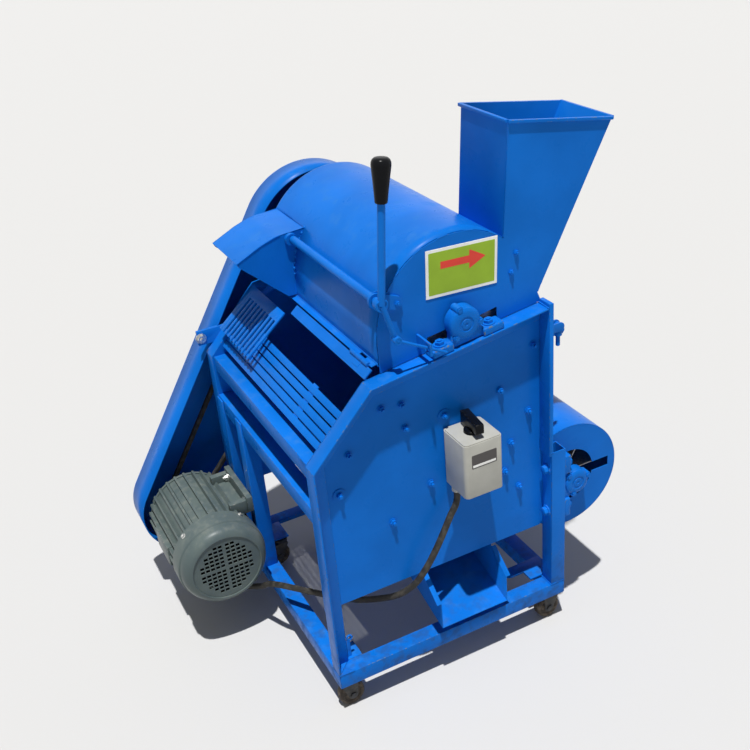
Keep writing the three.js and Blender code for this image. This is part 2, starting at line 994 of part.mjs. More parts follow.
// Slotted rails that the motor's feet are bolted to
function motorRails() {
  const front = -gap - motorRailThickness;
  const topEdge = lowerRailTop - angleThickness;
  for (const [name, y] of [["near", motorFootNear], ["far", motorFootNear + motorFootSpacing]]) {
    const half = motorRailWidth / 2;
    const face = box(front, -gap, y - half, y + half, railBottom + railSide / 2, topEdge);
    const side = box(
      front,
      angleLeg - angleThickness,
      y - half,
      y - half + motorRailThickness,
      railTop + gap,
      lowerRailTop - angleLeg - gap,
    );
    const slots = [1, -1].map((end) =>
      box(
        front - overrun,
        -gap + overrun / 2,
        y - motorRailSlotWidth / 2,
        y + motorRailSlotWidth / 2,
        motorAxisHeight + end * motorFootSpread - motorRailSlotLength / 2,
        motorAxisHeight + end * motorFootSpread + motorRailSlotLength / 2,
      ),
    );
    add(`motor_rail_${name}`, cut(join(face, side), slots), bluePaint);
  }
}

// Pillow block with its shaft axis along Y, standing on the plane z = 0
function pillowBlock(height, capRadius, shaftRadius, near) {
  const outward = near ? -1 : 1;
  const span = (a, b) => [Math.min(outward * a, outward * b), Math.max(outward * a, outward * b)];
  const halfFoot = bearingFootDepth / 2;
  const half = bearingFootLength / 2;
  const halfDepth = bearingDepth / 2;
  const nose = halfDepth + bearingNose;
  const hub = disc("y", 0, height, capRadius - bearingCapBevel, ...span(-halfDepth, nose));
  const shell = disc("y", 0, height, capRadius, ...span(-halfDepth + gap, halfDepth));
  const foot = [
    [-half, 0],
    [half, 0],
    [half, bearingFootHeight],
    [capRadius, bearingFootHeight],
    [capRadius - bearingCapBevel, height],
    [-capRadius + bearingCapBevel, height],
    [-capRadius, bearingFootHeight],
    [-half, bearingFootHeight],
  ];
  const studs = [1, -1].map((side) =>
    bolt("z", (side * bearingBoltSpacing) / 2, 0, bearingFootHeight, 1, bearingBolt),
  );
  const capBolts = arc(0, height, capRadius, capBoltStart, capBoltStart + 2 * capBoltTurn, 2).map(([x, z]) =>
    disc("y", x, z, capBoltRadius, ...span(-halfDepth / 2, halfDepth + capBoltReach), hexagon),
  );
  const body = join(hub, shell, prism("y", foot, -halfFoot, halfFoot), studs, capBolts);
  const depth = near ? halfDepth + bearingNose / 2 : nose + overrun;
  return cut(body, disc("y", 0, height, shaftRadius + gap, ...span(-bearingDepth, depth), medium));
}

function bearings() {
  for (const near of [true, false]) {
    const name = near ? "near" : "far";
    const y = near ? angleLeg / 2 : baseWidth - angleLeg / 2;
    const drum = add(
      `drum_bearing_${name}`,
      pillowBlock(bearingHeight, bearingCapRadius, drumShaftRadius, near),
      bluePaint,
    );
    drum.rotation.y = -topTilt;
    drum.position.set(
      drumX + Math.sin(topTilt) * bearingHeight,
      y,
      drumHeight - Math.cos(topTilt) * bearingHeight,
    );
    const fan = add(
      `fan_bearing_${name}`,
      pillowBlock(fanBearingHeight, fanBearingCapRadius, fanShaftRadius, near),
      bluePaint,
    );
    fan.rotation.y = Math.PI / 2;
    fan.position.set(fanPostLeft + fanPostSide + gap, y, fanHeight);
  }
}

// Drum: three discs and six beater bars with pegs, and the shaft with its pulley
function drum() {
  const group = groupAt(drumX, 0, drumHeight);
  const near = insideNear + drumEndRoom;
  const far = insideFar - drumEndRoom;
  const bore = drumShaftRadius + gap;
  const parts = [near, (near + far - drumDiscThickness) / 2, far - drumDiscThickness].map((y) =>
    ring("y", 0, 0, drumDiscRadius, bore, y, y + drumDiscThickness, fine),
  );
  for (let i = 0; i < beaterCount; i += 1) {
    const turn = new THREE.Matrix4().makeRotationY((i / beaterCount) * 2 * Math.PI);
    const top = drumDiscRadius + beaterThickness / 2;
    const beater = box(-beaterHeight / 2, beaterHeight / 2, near, far, top - beaterThickness, top);
    const pitch = (far - near) / pegCount;
    const stagger = i % 2 ? pitch / 4 : -pitch / 4;
    const pegs = [];
    for (let j = 0; j < pegCount; j += 1) {
      const y = near + pitch * (j + 1 / 2) + stagger;
      pegs.push(bar([0, y, top - beaterThickness / 2], [0, y, drumDiscRadius + pegHeight], pegRadius, 4));
    }
    parts.push(moved(join(beater, pegs), turn));
  }
  add("threshing_drum", join(parts), steel, group);
  const grooves = [motorBeltRadiusAtDrum, fanBeltRadiusAtDrum];
  const shaft = disc("y", 0, 0, drumShaftRadius, shaftStart, pulleyEnd, medium);
  const keyed = pulley(drumShaftRadius - 2 * gap, pulleyStart, grooves);
  add("drum_pulley", join(shaft, keyed), steel, group);
}

// A grooved pulley on Y: each groove's radius is that of the belt's back.
function pulley(shaftRadius, start, radii) {
  const profile = [[shaftRadius + gap, start]];
  let y = start;
  for (const radius of radii) {
    const rim = radius - grooveFlare / 2;
    const floor = radius - grooveDepth - gap;
    profile.push([rim, y], [rim, y + pulleyWall - grooveFlare / 2]);
    profile.push([floor, y + pulleyWall + grooveFlare / 2]);
    profile.push([floor, y + pulleyWall + grooveWidth - grooveFlare / 2]);
    profile.push([rim, y + pulleyWall + grooveWidth + grooveFlare / 2]);
    y += pulleyWall + grooveWidth;
  }
  const last = radii[radii.length - 1] - grooveFlare / 2;
  profile.push([last, y + pulleyWall], [shaftRadius + gap, y + pulleyWall]);
  return lathe(profile, fine);
}

// A belt lying in the grooves of two pulleys
function belt(u1, v1, r1, u2, v2, r2, centre) {
  const [from, to] = [centre - beltWidth / 2, centre + beltWidth / 2];
  return cut(
    prism("y", loop(u1, v1, r1, u2, v2, r2), from, to),
    prism(
      "y",
      loop(u1, v1, r1 - beltThickness, u2, v2, r2 - beltThickness),
      from - overrun,
      to + overrun,
    ),
  );
}

function belts() {
  const motorBelt = belt(
    drumX,
    drumHeight,
    motorBeltRadiusAtDrum,
    motorX,
    motorAxisHeight,
    motorPulleyRadius,
    motorBeltY,
  );
  add("motor_belt", motorBelt, cableSkin);
  const fanBelt = belt(drumX, drumHeight, fanBeltRadiusAtDrum, fanX, fanHeight, fanPulleyRadius, fanBeltY);
  add("fan_belt", fanBelt, cableSkin);
}

// Fan: housing, rotor and pulley
function fan() {
  const nearPlate = panelFace + sheet;
  const farPlate = baseWidth - nearPlate;
  const opening = upperPostLeft + gap;
  const slotHalf = fanSlotHeight / 2;
  const housing = cut(
    disc("y", fanX, fanHeight, fanHousingRadius, panelFace, baseWidth - panelFace, 36),
    disc("y", fanX, fanHeight, fanHousingRadius - sheet, nearPlate, farPlate, 36),
    box(
      fanX - 2 * fanHousingRadius,
      opening,
      -overrun,
      baseWidth + overrun,
      fanHeight - 2 * fanHousingRadius,
      fanHeight + 2 * fanHousingRadius,
    ),
    disc("y", fanX, fanHeight, fanInletRadius, -overrun, baseWidth + overrun, fine),
    box(fanX, fanX + fanSlotReach, -overrun, nearPlate + sheet, fanHeight - slotHalf, fanHeight + slotHalf),
  );
  add("fan_housing", housing, bluePaint);

  const group = groupAt(fanX, 0, fanHeight);
  const near = nearPlate + fanEndRoom;
  const far = farPlate - fanEndRoom;
  const parts = [disc("y", 0, 0, fanShaftRadius, shaftStart, fanPulleyEnd, medium)];
  for (const y of [near + fanHubInset, far - fanHubInset]) {
    parts.push(disc("y", 0, 0, fanHubRadius, y, y + fanHubThickness, medium));
  }
  for (let i = 0; i < fanBladeCount; i += 1) {
    const turn = new THREE.Matrix4().makeRotationY(((i + 1 / 2) / fanBladeCount) * 2 * Math.PI);
    const half = fanBladeThickness / 2;
    parts.push(moved(box(-half, half, near, far, fanBladeRoot, fanBladeRadius), turn));
  }
  add("fan_rotor", join(parts), steel, group);
  const fanPulleyStart = fanBeltY - grooveWidth / 2 - pulleyWall;
  add("fan_pulley", pulley(fanShaftRadius, fanPulleyStart, [fanPulleyRadius]), steel, group);
}

const fanPulleyEnd = fanBeltY + grooveWidth / 2 + pulleyWall;

// Motor: finned body with feet and terminal box, fan cover, shaft and pulley
function motor() {
  const group = groupAt(motorX, 0, motorAxisHeight);
  add("motor_body", motorBody(), motorPaint, group);
  add("motor_fan_cover", motorFanCover(), motorPaint, group);
  const coolingY = motorCoverStart + coolingFanInset;
  const blades = [];
  for (let i = 0; i < coolingBladeCount; i += 1) {
    const turn = new THREE.Matrix4().makeRotationY((i / coolingBladeCount) * 2 * Math.PI);
    const half = coolingBladeThickness / 2;
    const blade = box(
      -half,
      half,
      coolingY - coolingBladeHeight,
      coolingY + gap,
      motorShaftRadius,
      coolingFanRadius,
    );
    blades.push(moved(blade, turn));
  }
  const shaft = join(
    disc("y", 0, 0, motorShaftRadius, coolingY - gap, motorPulleyEnd, medium),
    disc("y", 0, 0, coolingFanRadius, coolingY, coolingY + coolingFanThickness, medium),
    blades,
  );
  add("motor_shaft", shaft, steel, group);
  const pulleyFrom = motorBeltY - grooveWidth / 2 - pulleyWall;
  add("motor_pulley", pulley(motorShaftRadius, pulleyFrom, [motorPulleyRadius]), steel, group);
}

const motorPulleyEnd = motorBeltY + grooveWidth / 2 + pulleyWall;

function motorBody() {
  const outline = [];
  for (let i = 0; i < motorFinCount; i += 1) {
    const step = 360 / motorFinCount;
    const fin = (step * motorFinShare) / 2;
    outline.push(
      ...arc(0, 0, motorFinRadius, i * step - fin, i * step + fin, 1),
      ...arc(0, 0, motorFinRoot, i * step + fin, (i + 1) * step - fin, 1),
    );
  }
  const stator = prism("y", outline, motorStatorStart, motorStatorEnd);
  const rim = motorFinRadius + sheet;
  const shieldRim = motorFinRoot + sheet;
  const shield = lathe([
    [0, motorStatorEnd - gap],
    [shieldRim, motorStatorEnd - gap],
    [shieldRim, motorStatorEnd + motorFootThickness / 2],
    [motorShieldNose + motorFootThickness, motorStatorEnd + motorFootThickness],
    [motorShieldNose, motorShieldEnd],
    [0, motorShieldEnd],
  ]);
  const collar = disc("y", 0, 0, rim, motorStatorStart, motorStatorStart + motorFootThickness, fine);
  const footBack = motorCentreHeight;
  const footFront = footBack - motorFootThickness;
  const near = motorFootNear - motorFootOverhang;
  const far = motorFootNear + motorFootSpacing + motorFootOverhang;
  const feet = [1, -1].flatMap((side) => {
    const spread = (a, b) => [side * a, side * b].sort((p, q) => p - q);
    const inside = motorFootSpread - motorFootWidth / 2;
    const outside = motorFootSpread + motorFootWidth / 2;
    return [
      box(footFront, footBack, near, far, ...spread(inside, outside)),
      box(
        motorFinRoot / 2,
        footBack,
        near + motorFootOverhang / 2,
        far - motorFootOverhang / 2,
        ...spread(inside, inside + motorFootWebThickness),
      ),
      ...[motorFootNear, motorFootNear + motorFootSpacing].map((y) =>
        bolt("x", y, side * motorFootSpread, footFront, -1, motorBolt),
      ),
    ];
  });
  const body = join(stator, shield, collar, feet, terminalBox());
  return cut(
    body,
    disc("y", 0, 0, motorShaftRadius + gap, motorStatorStart - overrun, motorShieldEnd + overrun, medium),
  );
}

// Terminal box under the motor, with the cable's gland facing the near side
const motorGland = [
  terminalBoxWidth / 2 - terminalGlandInset,
  terminalBoxStart - glandLength,
  -motorFinRadius - terminalBoxHeight / 2,
];

function terminalBox() {
  const half = terminalBoxWidth / 2;
  return join(
    box(
      -half,
      half,
      terminalBoxStart,
      terminalBoxStart + terminalBoxLength,
      -motorFinRadius - terminalBoxHeight,
      -motorFinRoot / 2,
    ),
    disc("y", motorGland[0], motorGland[2], glandRadius, motorGland[1], terminalBoxStart + sheet, coarse),
  );
}

function motorFanCover() {
  const end = motorStatorStart - gap;
  const corner = arc(motorCoverRadius - motorCoverRound, motorCoverStart + motorCoverRound, motorCoverRound, -90, 0, 3);
  const inner = arc(
    motorCoverRadius - motorCoverRound,
    motorCoverStart + motorCoverRound,
    motorCoverRound - motorCoverWall,
    0,
    -90,
    3,
  );
  const cup = lathe(
    [
      [0, motorCoverStart],
      ...corner,
      [motorCoverRadius, end],
      [motorCoverRadius - motorCoverWall, end],
      ...inner,
      [0, motorCoverStart + motorCoverWall],
    ],
    fine,
  );
  const holes = [];
  const [from, to] = [motorCoverStart - overrun, motorCoverStart + motorCoverWall + sheet];
  for (let z = grilleCross; z + grilleHoleHeight < grilleRadius; z += grilleStepZ) {
    const reach = Math.sqrt(grilleRadius ** 2 - (z + grilleHoleHeight) ** 2);
    if (reach < 2 * grilleCross) continue;
    holes.push(box(grilleCross, reach, from, to, z, z + grilleHoleHeight));
    holes.push(box(-reach, -grilleCross, from, to, z, z + grilleHoleHeight));
    holes.push(box(grilleCross, reach, from, to, -z - grilleHoleHeight, -z));
    holes.push(box(-reach, -grilleCross, from, to, -z - grilleHoleHeight, -z));
  }
  return cut(cup, holes);
}

// Belt guard: a band round both pulleys with a back, open towards the frame
function beltGuard() {
  const [u1, v1] = [drumX + guardShiftX, drumHeight + guardShiftZ];
  const outline = (inset) =>
    loop(u1, v1, guardDrumRadius - inset, motorX, motorAxisHeight, guardMotorRadius - inset, 28);
  const shell = cut(
    prism("y", outline(0), guardFace, guardBack),
    prism("y", outline(guardWall), guardFace - overrun, guardBack - guardWall),
    prism(
      "y",
      loop(
        drumX,
        drumHeight,
        fanBeltRadiusAtDrum + guardWindowRoom,
        fanX,
        fanHeight,
        fanPulleyRadius + guardWindowRoom,
      ),
      guardFace - overrun,
      guardBack - guardWall,
    ),
  );
  const bottom = guardTabHeightAboveFloor - guardTabHeight / 2;
  const tab = box(
    -guardTabOutside,
    guardTabWidth,
    guardFace,
    guardFace + guardTabThickness,
    bottom,
    bottom + guardTabHeight,
  );
  const inside = prism("y", outline(0), guardFace, guardBack);
  const outerTab = tab.subtract(inside).add(tab.intersect(inside));
  add("belt_guard", join(shell, outerTab), bluePaint);
}

// Hood: shell, end plates, hopper, straw outlet and sign
const hoodLeft = drumX - hoodRadius;
const hoodRight = drumX + hoodRadius;

function hoodProfile() {
  return [
    [hoodLeft, hoodFootHeight],
    ...arc(drumX, drumHeight, hoodRadius, 180, 0, fine),
    [hoodRight, topLine(hoodRight) + plateLift],
    [hoodSillEnd, topLine(hoodSillEnd) + plateLift],
  ];
}

const hopperFootAngle = THREE.MathUtils.radToDeg(
  Math.atan2(footLeftHeight - drumHeight, footLeftX - drumX),
);

function hoodShell() {
  const leaf = [
    [hingeX, hingeHeight],
    [hoodLeft + sheet, hoodFootHeight + sheet],
  ];
  const hopperHole = prism(
    "y",
    [
      [drumX, drumHeight],
      ...arc(drumX, drumHeight, hoodRadius + overrun, hopperFootAngle, 0, 8),
      [hoodSillEnd + overrun, drumHeight - overrun * 2],
      [drumX, drumHeight - overrun * 2],
    ],
    insideNear - overrun,
    hopperBack + gap,
  );
  const strawHole = box(
    hoodLeft - overrun,
    hoodLeft + outletHoleInset * overrun,
    outletNear + sheet + gap,
    outletFar - sheet - gap,
    outletHoleSill,
    drumHeight + outletRootRise - 2 * sheet,
  );
  const knuckles = [hingeNearY, hingeFarY].flatMap((y) => [hingeKnuckle(y, -1), hingeKnuckle(y, 1)]);
  const leafRoom = [hingeNearY, hingeFarY].map((y) =>
    box(
      hingeX - overrun,
      hingeX + knuckleRadius + knuckleRoom,
      y - knuckleLength / 2 - gap,
      y + knuckleLength / 2 + gap,
      hingeHeight - overrun,
      hingeHeight + overrun,
    ),
  );
  const leafPlate = prism("y", band(leaf, sheet), hingeNearY - 2 * knuckleLength, hingeFarY + 2 * knuckleLength);
  const body = cut(
    join(prism("y", band(hoodProfile(), sheet), insideNear, insideFar), leafPlate),
    hopperHole,
    strawHole,
    leafRoom,
  );
  const rod = disc("y", hoodLeft, hoodFootHeight, rimRodRadius, insideNear, insideFar, coarse);
  return join(body, knuckles, rod);
}

// The lower part of both end plates: a window for the bearing and a slot for the shaft
function bearingWindow(y0, y1) {
  const window = [
    [bearingWindowLeft, topLine(bearingWindowLeft) - overrun],
    [bearingWindowRight, topLine(bearingWindowRight) - overrun],
    [bearingWindowRight, topLine(bearingWindowRight) + bearingWindowHeight],
    [bearingWindowLeft, topLine(bearingWindowLeft) + bearingWindowHeight],
  ];
  const room = drumShaftRadius + shaftSlotRoom;
  const slot = [
    ...arc(drumX, drumHeight, room, 180, 0, 8),
    [drumX + room + shaftSlotFlare, topLine(drumX)],
    [drumX - room, topLine(drumX)],
  ];
  return [prism("y", window, y0, y1), prism("y", slot, y0, y1)];
}

function hoodNearEnd() {
  const outline = [
    [hoodLeft, topLine(hoodLeft) + plateLift],
    ...arc(drumX, drumHeight, hoodRadius, 180, hopperFootAngle, fine),
    [rimLeftX, rimLeftHeight],
    [rimRightX, rimRightHeight],
    [footRightX, footRightHeight],
    [hoodSillEnd, topLine(hoodSillEnd) + plateLift],
  ];
  const [y0, y1] = [panelFace, panelBack];
  const lug = prism(
    "y",
    loop(leverX, leverHeight, lugRadius, lugX, lugHeight, lugRadius, 8),
    panelFace - lugThickness,
    panelFace + gap,
  );
  const shaftHole = disc("y", leverX, leverHeight, leverShaftRadius + gap, y0 - overrun, y1 + overrun);
  const clearCorner = disc("y", leverX, leverHeight, lugRadius + gap, panelFace, panelBack + overrun);
  const plate = cut(prism("y", outline, y0, y1), clearCorner, bearingWindow(y0 - overrun, y1 + overrun));
  const lip = prism(
    "y",
    band([[rimRightX, rimRightHeight], [rimLeftX, rimLeftHeight]].reverse(), rimDepth),
    panelFace - rimLip,
    panelFace + gap,
  );
  return join(cut(join(plate, lug), shaftHole), lip, linkGuide());
}

// Eye on the end plate that the link runs through
function linkGuide() {
  const half = linkGuideSide / 2;
  const z = linkGuideHeight;
  const eye = box(
    linkGuideX - linkGuideThickness / 2,
    linkGuideX + linkGuideThickness / 2,
    linkY - half,
    panelFace + gap,
    z - half,
    z + half,
  );
  const hole = bar(
    [linkGuideX - overrun, linkY, z],
    [linkGuideX + overrun, linkY, z],
    linkRadius + linkRoom,
    coarse,
  );
  return cut(eye, hole);
}

function hoodFarEnd() {
  const outline = [
    [hoodLeft, topLine(hoodLeft) + plateLift],
    ...arc(drumX, drumHeight, hoodRadius, 180, 0, fine),
    [hoodRight, topLine(hoodRight) + plateLift],
  ];
  const [y0, y1] = across(false, panelFace, panelBack);
  return cut(prism("y", outline, y0, y1), bearingWindow(y0 - overrun, y1 + overrun));
}

function hopper() {
  const profile = [
    [rimLeftX, rimLeftHeight],
    [footLeftX, footLeftHeight],
    [footLeftX, drumHeight],
    [hoodRight - overrun, topLine(hoodRight) + plateLift],
    [hoodSillEnd, topLine(hoodSillEnd) + plateLift],
    [footRightX, footRightHeight],
    [rimRightX, rimRightHeight],
  ];
  const path = [
    [footLeftX, footLeftHeight - overrun],
    [footLeftX, footLeftHeight],
    [rimLeftX, rimLeftHeight],
  ];
  const right = [
    [rimRightX, rimRightHeight],
    [footRightX, footRightHeight],
    [hoodSillEnd, topLine(hoodSillEnd) + plateLift],
  ];
  const lipLeft = [
    [rimLeftX - rimLip, rimLeftHeight],
    [rimLeftX - rimLip, rimLeftHeight - rimDepth],
    [rimLeftX, rimLeftHeight - rimDepth],
    [rimLeftX, rimLeftHeight],
  ];
  const lipRight = [
    [rimRightX - sheet, rimRightHeight - rimDepth],
    [rimRightX + rimLip, rimRightHeight - rimDepth],
    [rimRightX + rimLip, rimRightHeight],
    [rimRightX - sheet, rimRightHeight],
  ];
  const lipBack = band([[rimLeftX, rimLeftHeight], [rimRightX, rimRightHeight]], rimDepth);
  const shellRoom = disc("y", drumX, drumHeight, hoodRadius + gap, -overrun, baseWidth, fine * 2);
  const backWall = prism("y", profile, hopperBack - sheet, hopperBack);
  return cut(
    join(
      prism("y", band(path, sheet), insideNear, hopperBack),
      prism("y", band(right, sheet), insideNear, hopperBack),
      backWall,
      prism("y", lipLeft, insideNear, hopperBack + rimLip),
      prism("y", lipRight, insideNear, hopperBack + rimLip),
      prism("y", lipBack, hopperBack - sheet, hopperBack + rimLip),
    ),
    shellRoom,
    box(hoodRight - overrun, hoodRight + gap, -overrun, baseWidth, drumHeight - hoodRadius, drumHeight),
  );
}

function strawOutlet() {
  const root = [drumX - Math.sqrt(hoodRadius ** 2 - outletRootRise ** 2), drumHeight + outletRootRise];
  const crest = [
    [outletTipX, outletTipHeight],
    [outletBrowX, outletBrowHeight],
    [outletCrestX, outletCrestHeight],
    root,
  ];
  const side = [
    ...crest,
    [drumX - hoodRadius / 2, drumHeight],
    [hoodLeft + overrun, outletHeelHeight],
    [outletHeelX, outletHeelHeight],
    [outletLipX, outletLipHeight],
  ];
  const plates = [
    [outletNear, outletNear + sheet],
    [outletFar - sheet, outletFar],
  ].map(([y0, y1]) => prism("y", side, y0, y1));
  const roof = prism("y", band(crest, sheet), outletNear, outletFar);
  const bush = disc(
    "y",
    leverX,
    leverHeight,
    leverShaftRadius + bushWall,
    outletNear - farBushLength,
    outletNear + gap,
  );
  const shaftHole = disc(
    "y",
    leverX,
    leverHeight,
    leverShaftRadius + gap,
    outletNear - farBushLength - overrun,
    outletFar - 2 * sheet,
  );
  const shellRoom = disc("y", drumX, drumHeight, hoodRadius + gap, 0, baseWidth, fine * 2);
  const footRoom = box(hoodLeft - gap, drumX, 0, baseWidth, 0, drumHeight);
  return cut(join(plates, roof, bush), shellRoom, footRoom, shaftHole);
}

function hood() {
  add("hood_shell", hoodShell(), bluePaint);
  add("hood_near_end", hoodNearEnd(), bluePaint);
  add("hood_far_end", hoodFarEnd(), bluePaint);
  add("hopper", hopper(), bluePaint);
  add("straw_outlet", strawOutlet(), bluePaint);
  const plate = add("sign_plate", box(0, signWidth, -signThickness, 0, 0, signTall), signFace);
  plate.rotation.y = -signTilt;
  plate.position.set(signX, panelFace - gap, signHeight);
}

// Lever with its cross shaft, grip, gate and link
const leverHubEnd = leverShaftStart + leverHubLength;
const armY = armRadius;
const linkY = -linkEyeLength / 2 - gap;

function lever() {
  const centreY = handleRadius;
  const shaft = join(
    disc("y", leverX, leverHeight, leverShaftRadius, leverShaftStart, outletFar - 2 * sheet, medium),
    disc("y", leverX, leverHeight, leverHubRadius, leverShaftStart, leverHubEnd, medium),
    bar([leverX, centreY, leverHeight], [handleTopX, centreY, handleTopHeight], handleRadius),
    bar([leverX, armY, leverHeight], [armEndX, armY, armEndHeight], armRadius),
    disc("y", armEndX, armEndHeight, linkEyeRadius, 0, armY + armRadius, coarse),
    disc("y", armEndX, armEndHeight, linkPinRadius, linkY - linkEyeLength / 2 - gap, armY, coarse),
  );
  add("lever_shaft", shaft, bluePaint);

  const lean = Math.atan2(handleTopX - leverX, handleTopHeight - leverHeight);
  const grip = add("lever_grip", leverGrip(), blackPlastic);
  grip.rotation.set(Math.PI / 2, 0, 0);
  grip.rotation.order = "YXZ";
  grip.rotation.y = lean;
  grip.position.set(
    handleTopX - Math.sin(lean) * gripSocket,
    centreY,
    handleTopHeight - Math.cos(lean) * gripSocket,
  );

  const collar = leverShaftRadius + gap + gateCollarWall;
  const y0 = outletNear + sheet + gateRoom;
  const y1 = outletFar - sheet - gateRoom;
  const gate = cut(
    join(
      disc("y", leverX, leverHeight, collar, y0, y1),
      box(leverX - gateThickness, leverX, y0, y1, leverHeight - gateHeight, leverHeight),
    ),
    disc("y", leverX, leverHeight, leverShaftRadius + gap, y0 - overrun, y1 + overrun, medium),
  );
  add("straw_gate", gate, bluePaint);

  const eyeStart = linkY - linkEyeLength / 2;
  const towards = new THREE.Vector2(linkGuideX - armEndX, linkGuideHeight - armEndHeight).normalize();
  const linkStart = linkPinRadius + gap + sheet;
  const link = join(
    ring("y", armEndX, armEndHeight, linkEyeRadius, linkPinRadius + gap, eyeStart, eyeStart + linkEyeLength, coarse),
    bar(
      [armEndX + towards.x * linkStart, linkY, armEndHeight + towards.y * linkStart],
      [armEndX + towards.x * linkLength, linkY, armEndHeight + towards.y * linkLength],
      linkRadius,
      8,
    ),
  );
  add("lever_link", link, bluePaint);
}

// Tapered grip on its own axis, with a blind socket at the foot
function leverGrip() {
  const profile = [
    [handleRadius + gap, 0],
    [gripFootRadius, 0],
    [gripHeadRadius, gripLength - 3 * gripRound],
    ...arc(gripHeadRadius - gripRound, gripLength - gripRound, gripRound, 0, 90, 4),
    [0, gripLength],
    [0, gripSocket + gap],
    [handleRadius + gap, gripSocket + gap],
  ];
  return lathe(profile, medium);
}

// Concave: round bars between three ribs bent round the drum
function concave() {
  const mid = (insideNear + insideFar) / 2;
  const half = concaveRibThickness / 2;
  const ribs = [insideNear, mid - half, insideFar - concaveRibThickness].map((y) =>
    prism(
      "y",
      [
        ...arc(drumX, drumHeight, concaveRadius + concaveDepth, concaveStart, concaveEnd, 14),
        ...arc(drumX, drumHeight, concaveRadius, concaveEnd, concaveStart, 14),
      ],
      y,
      y + concaveRibThickness,
    ),
  );
  const bars = arc(
    drumX,
    drumHeight,
    concaveRadius + concaveDepth / 2,
    concaveStart + 2,
    concaveEnd - 2,
    concaveBarCount - 1,
  ).map(([x, z]) => disc("y", x, z, concaveBarRadius, insideNear + half, insideFar - half, 5));
  add("concave_grate", join(ribs, bars), steel);
}

// Slats along the slope under the straw outlet, on two straps
function slattedDeck() {
  const slopeAngle = Math.atan2(shoulderHeight - kneeHeight, slopeRun);
  const slats = [];
  for (let i = 0; i < slatCount; i += 1) {
    const start = slatStart + i * slatPitch;
    slats.push(box(start, start + slatWidth, insideNear, deckFar, -slatThickness, 0));
  }
  const length = slatCount * slatPitch;
  for (const y of [insideNear + strapInset, insideFar - strapInset - strapWidth]) {
    slats.push(
      box(slatStart, slatStart + length, y, y + strapWidth, -2 * slatThickness, -slatThickness + gap),
    );
  }
  const deck = add("slatted_deck", join(slats), bluePaint);
  deck.rotation.y = -slopeAngle;
  deck.position.set(Math.sin(slopeAngle) * slatSetback, 0, kneeHeight - Math.cos(slopeAngle) * slatSetback);
}

// Comb under the outlet: fingers down the slope from a solid head, and a skirt along the far panel
// Leaf and knuckle of the far hinge, on the comb's head and in the comb's own directions
function combHinge() {
  const acrossX = hingeX - combFootX;
  const up = hingeHeight - combFootHeight;
  const axis = [
    acrossX * Math.cos(combSlope) + up * Math.sin(combSlope),
    up * Math.cos(combSlope) - acrossX * Math.sin(combSlope),
  ];
  const from = hingeFarY - knuckleLength / 2;
  const to = hingeFarY + knuckleLength / 2;
  const leaf = band([[combLength - combHead / 2, combThickness], axis], combThickness);
  return [prism("y", leaf, from, to), disc("y", ...axis, knuckleRadius, from, to, coarse)];
}

function comb() {
  const fingers = [];
  const span = insideFar - combMargin - combNear;
  const pitch = (span - combFingerWidth) / (combFingerCount - 1);
  for (let i = 0; i < combFingerCount; i += 1) {
    const y = combNear + i * pitch;
    fingers.push(box(0, combLength - combHead + gap, y, y + combFingerWidth, 0, combThickness));
  }
  const body = join(
    fingers,
    box(combLength - combHead, combLength, combNear, insideFar, 0, combThickness),
    box(0, combLength, insideFar - combMargin + gap, insideFar, 0, combThickness),
    box(0, combToe, combNear, insideFar, -combThickness, gap),
    box(combToe, combLength, insideFar - sheet, insideFar, -combSkirt, gap),
  );
  const piece = add("discharge_comb", join(body, combHinge()), bluePaint);
  piece.rotation.y = -combSlope;
  piece.position.set(combFootX, 0, combFootHeight);
}

// Chute under the near side, and the two sheets inside that lead to it
function grainPath() {
  const floorAt = (y) => chuteLipHeight + (y - chuteLipY) * chuteRise;
  const end = insideFar - gap;
  const side = [
    [chuteLipY, chuteLipHeight],
    [end, floorAt(end)],
    [end, chuteInsideTop],
    [insideNear, chuteInsideTop],
    [insideNear, chuteMouthTopHeight],
    [panelFace, chuteMouthTopHeight],
    [chuteLipY, chuteLipHeight + chuteMouthHeight],
  ];
  const mouthEdge = [
    [panelFace - gap, chuteMouthTopHeight],
    [chuteLipY, chuteLipHeight + chuteMouthHeight],
  ];
  const floor = [
    [chuteLipY, chuteLipHeight],
    [end, floorAt(end)],
    [end, floorAt(end) + sheet],
    [chuteLipY, chuteLipHeight + sheet],
  ];
  const flange = band(mouthEdge, -sheet);
  const body = join(
    prism("x", floor, chuteLeft, chuteRight),
    prism("x", side, chuteLeft, chuteLeft + sheet),
    prism("x", side, chuteRight - sheet, chuteRight),
    prism("x", flange, chuteLeft - chuteFlange, chuteLeft + sheet),
    prism("x", flange, chuteRight - sheet, chuteRight + chuteFlange),
  );
  add("grain_chute", body, bluePaint);
  const deflector = [
    [deflectorTopX, deflectorTopHeight],
    [chuteLeft - gap - sheet, chuteInsideTop],
  ];
  add("grain_deflector", prism("y", band(deflector, sheet), insideNear, insideFar), bluePaint);
  const board = [
    [chuteRight + gap + sheet, chuteInsideTop],
    [panelRight - gap, windBoardFoot],
  ];
  add("wind_board", prism("y", band(board, sheet), insideNear, insideFar), bluePaint);
}

// Switch: rounded box with a gland below and a bar knob on top
const knobX = switchLeft + switchWidth / 2;
const knobY = panelFace - gap - switchDepth / 2;

function roundedPlan(x0, x1, y0, y1, radius) {
  return [
    ...arc(x1 - radius, y1 - radius, radius, 0, 90, 3),
    ...arc(x0 + radius, y1 - radius, radius, 90, 180, 3),
    ...arc(x0 + radius, y0 + radius, radius, 180, 270, 3),
    ...arc(x1 - radius, y0 + radius, radius, 270, 360, 3),
  ];
}

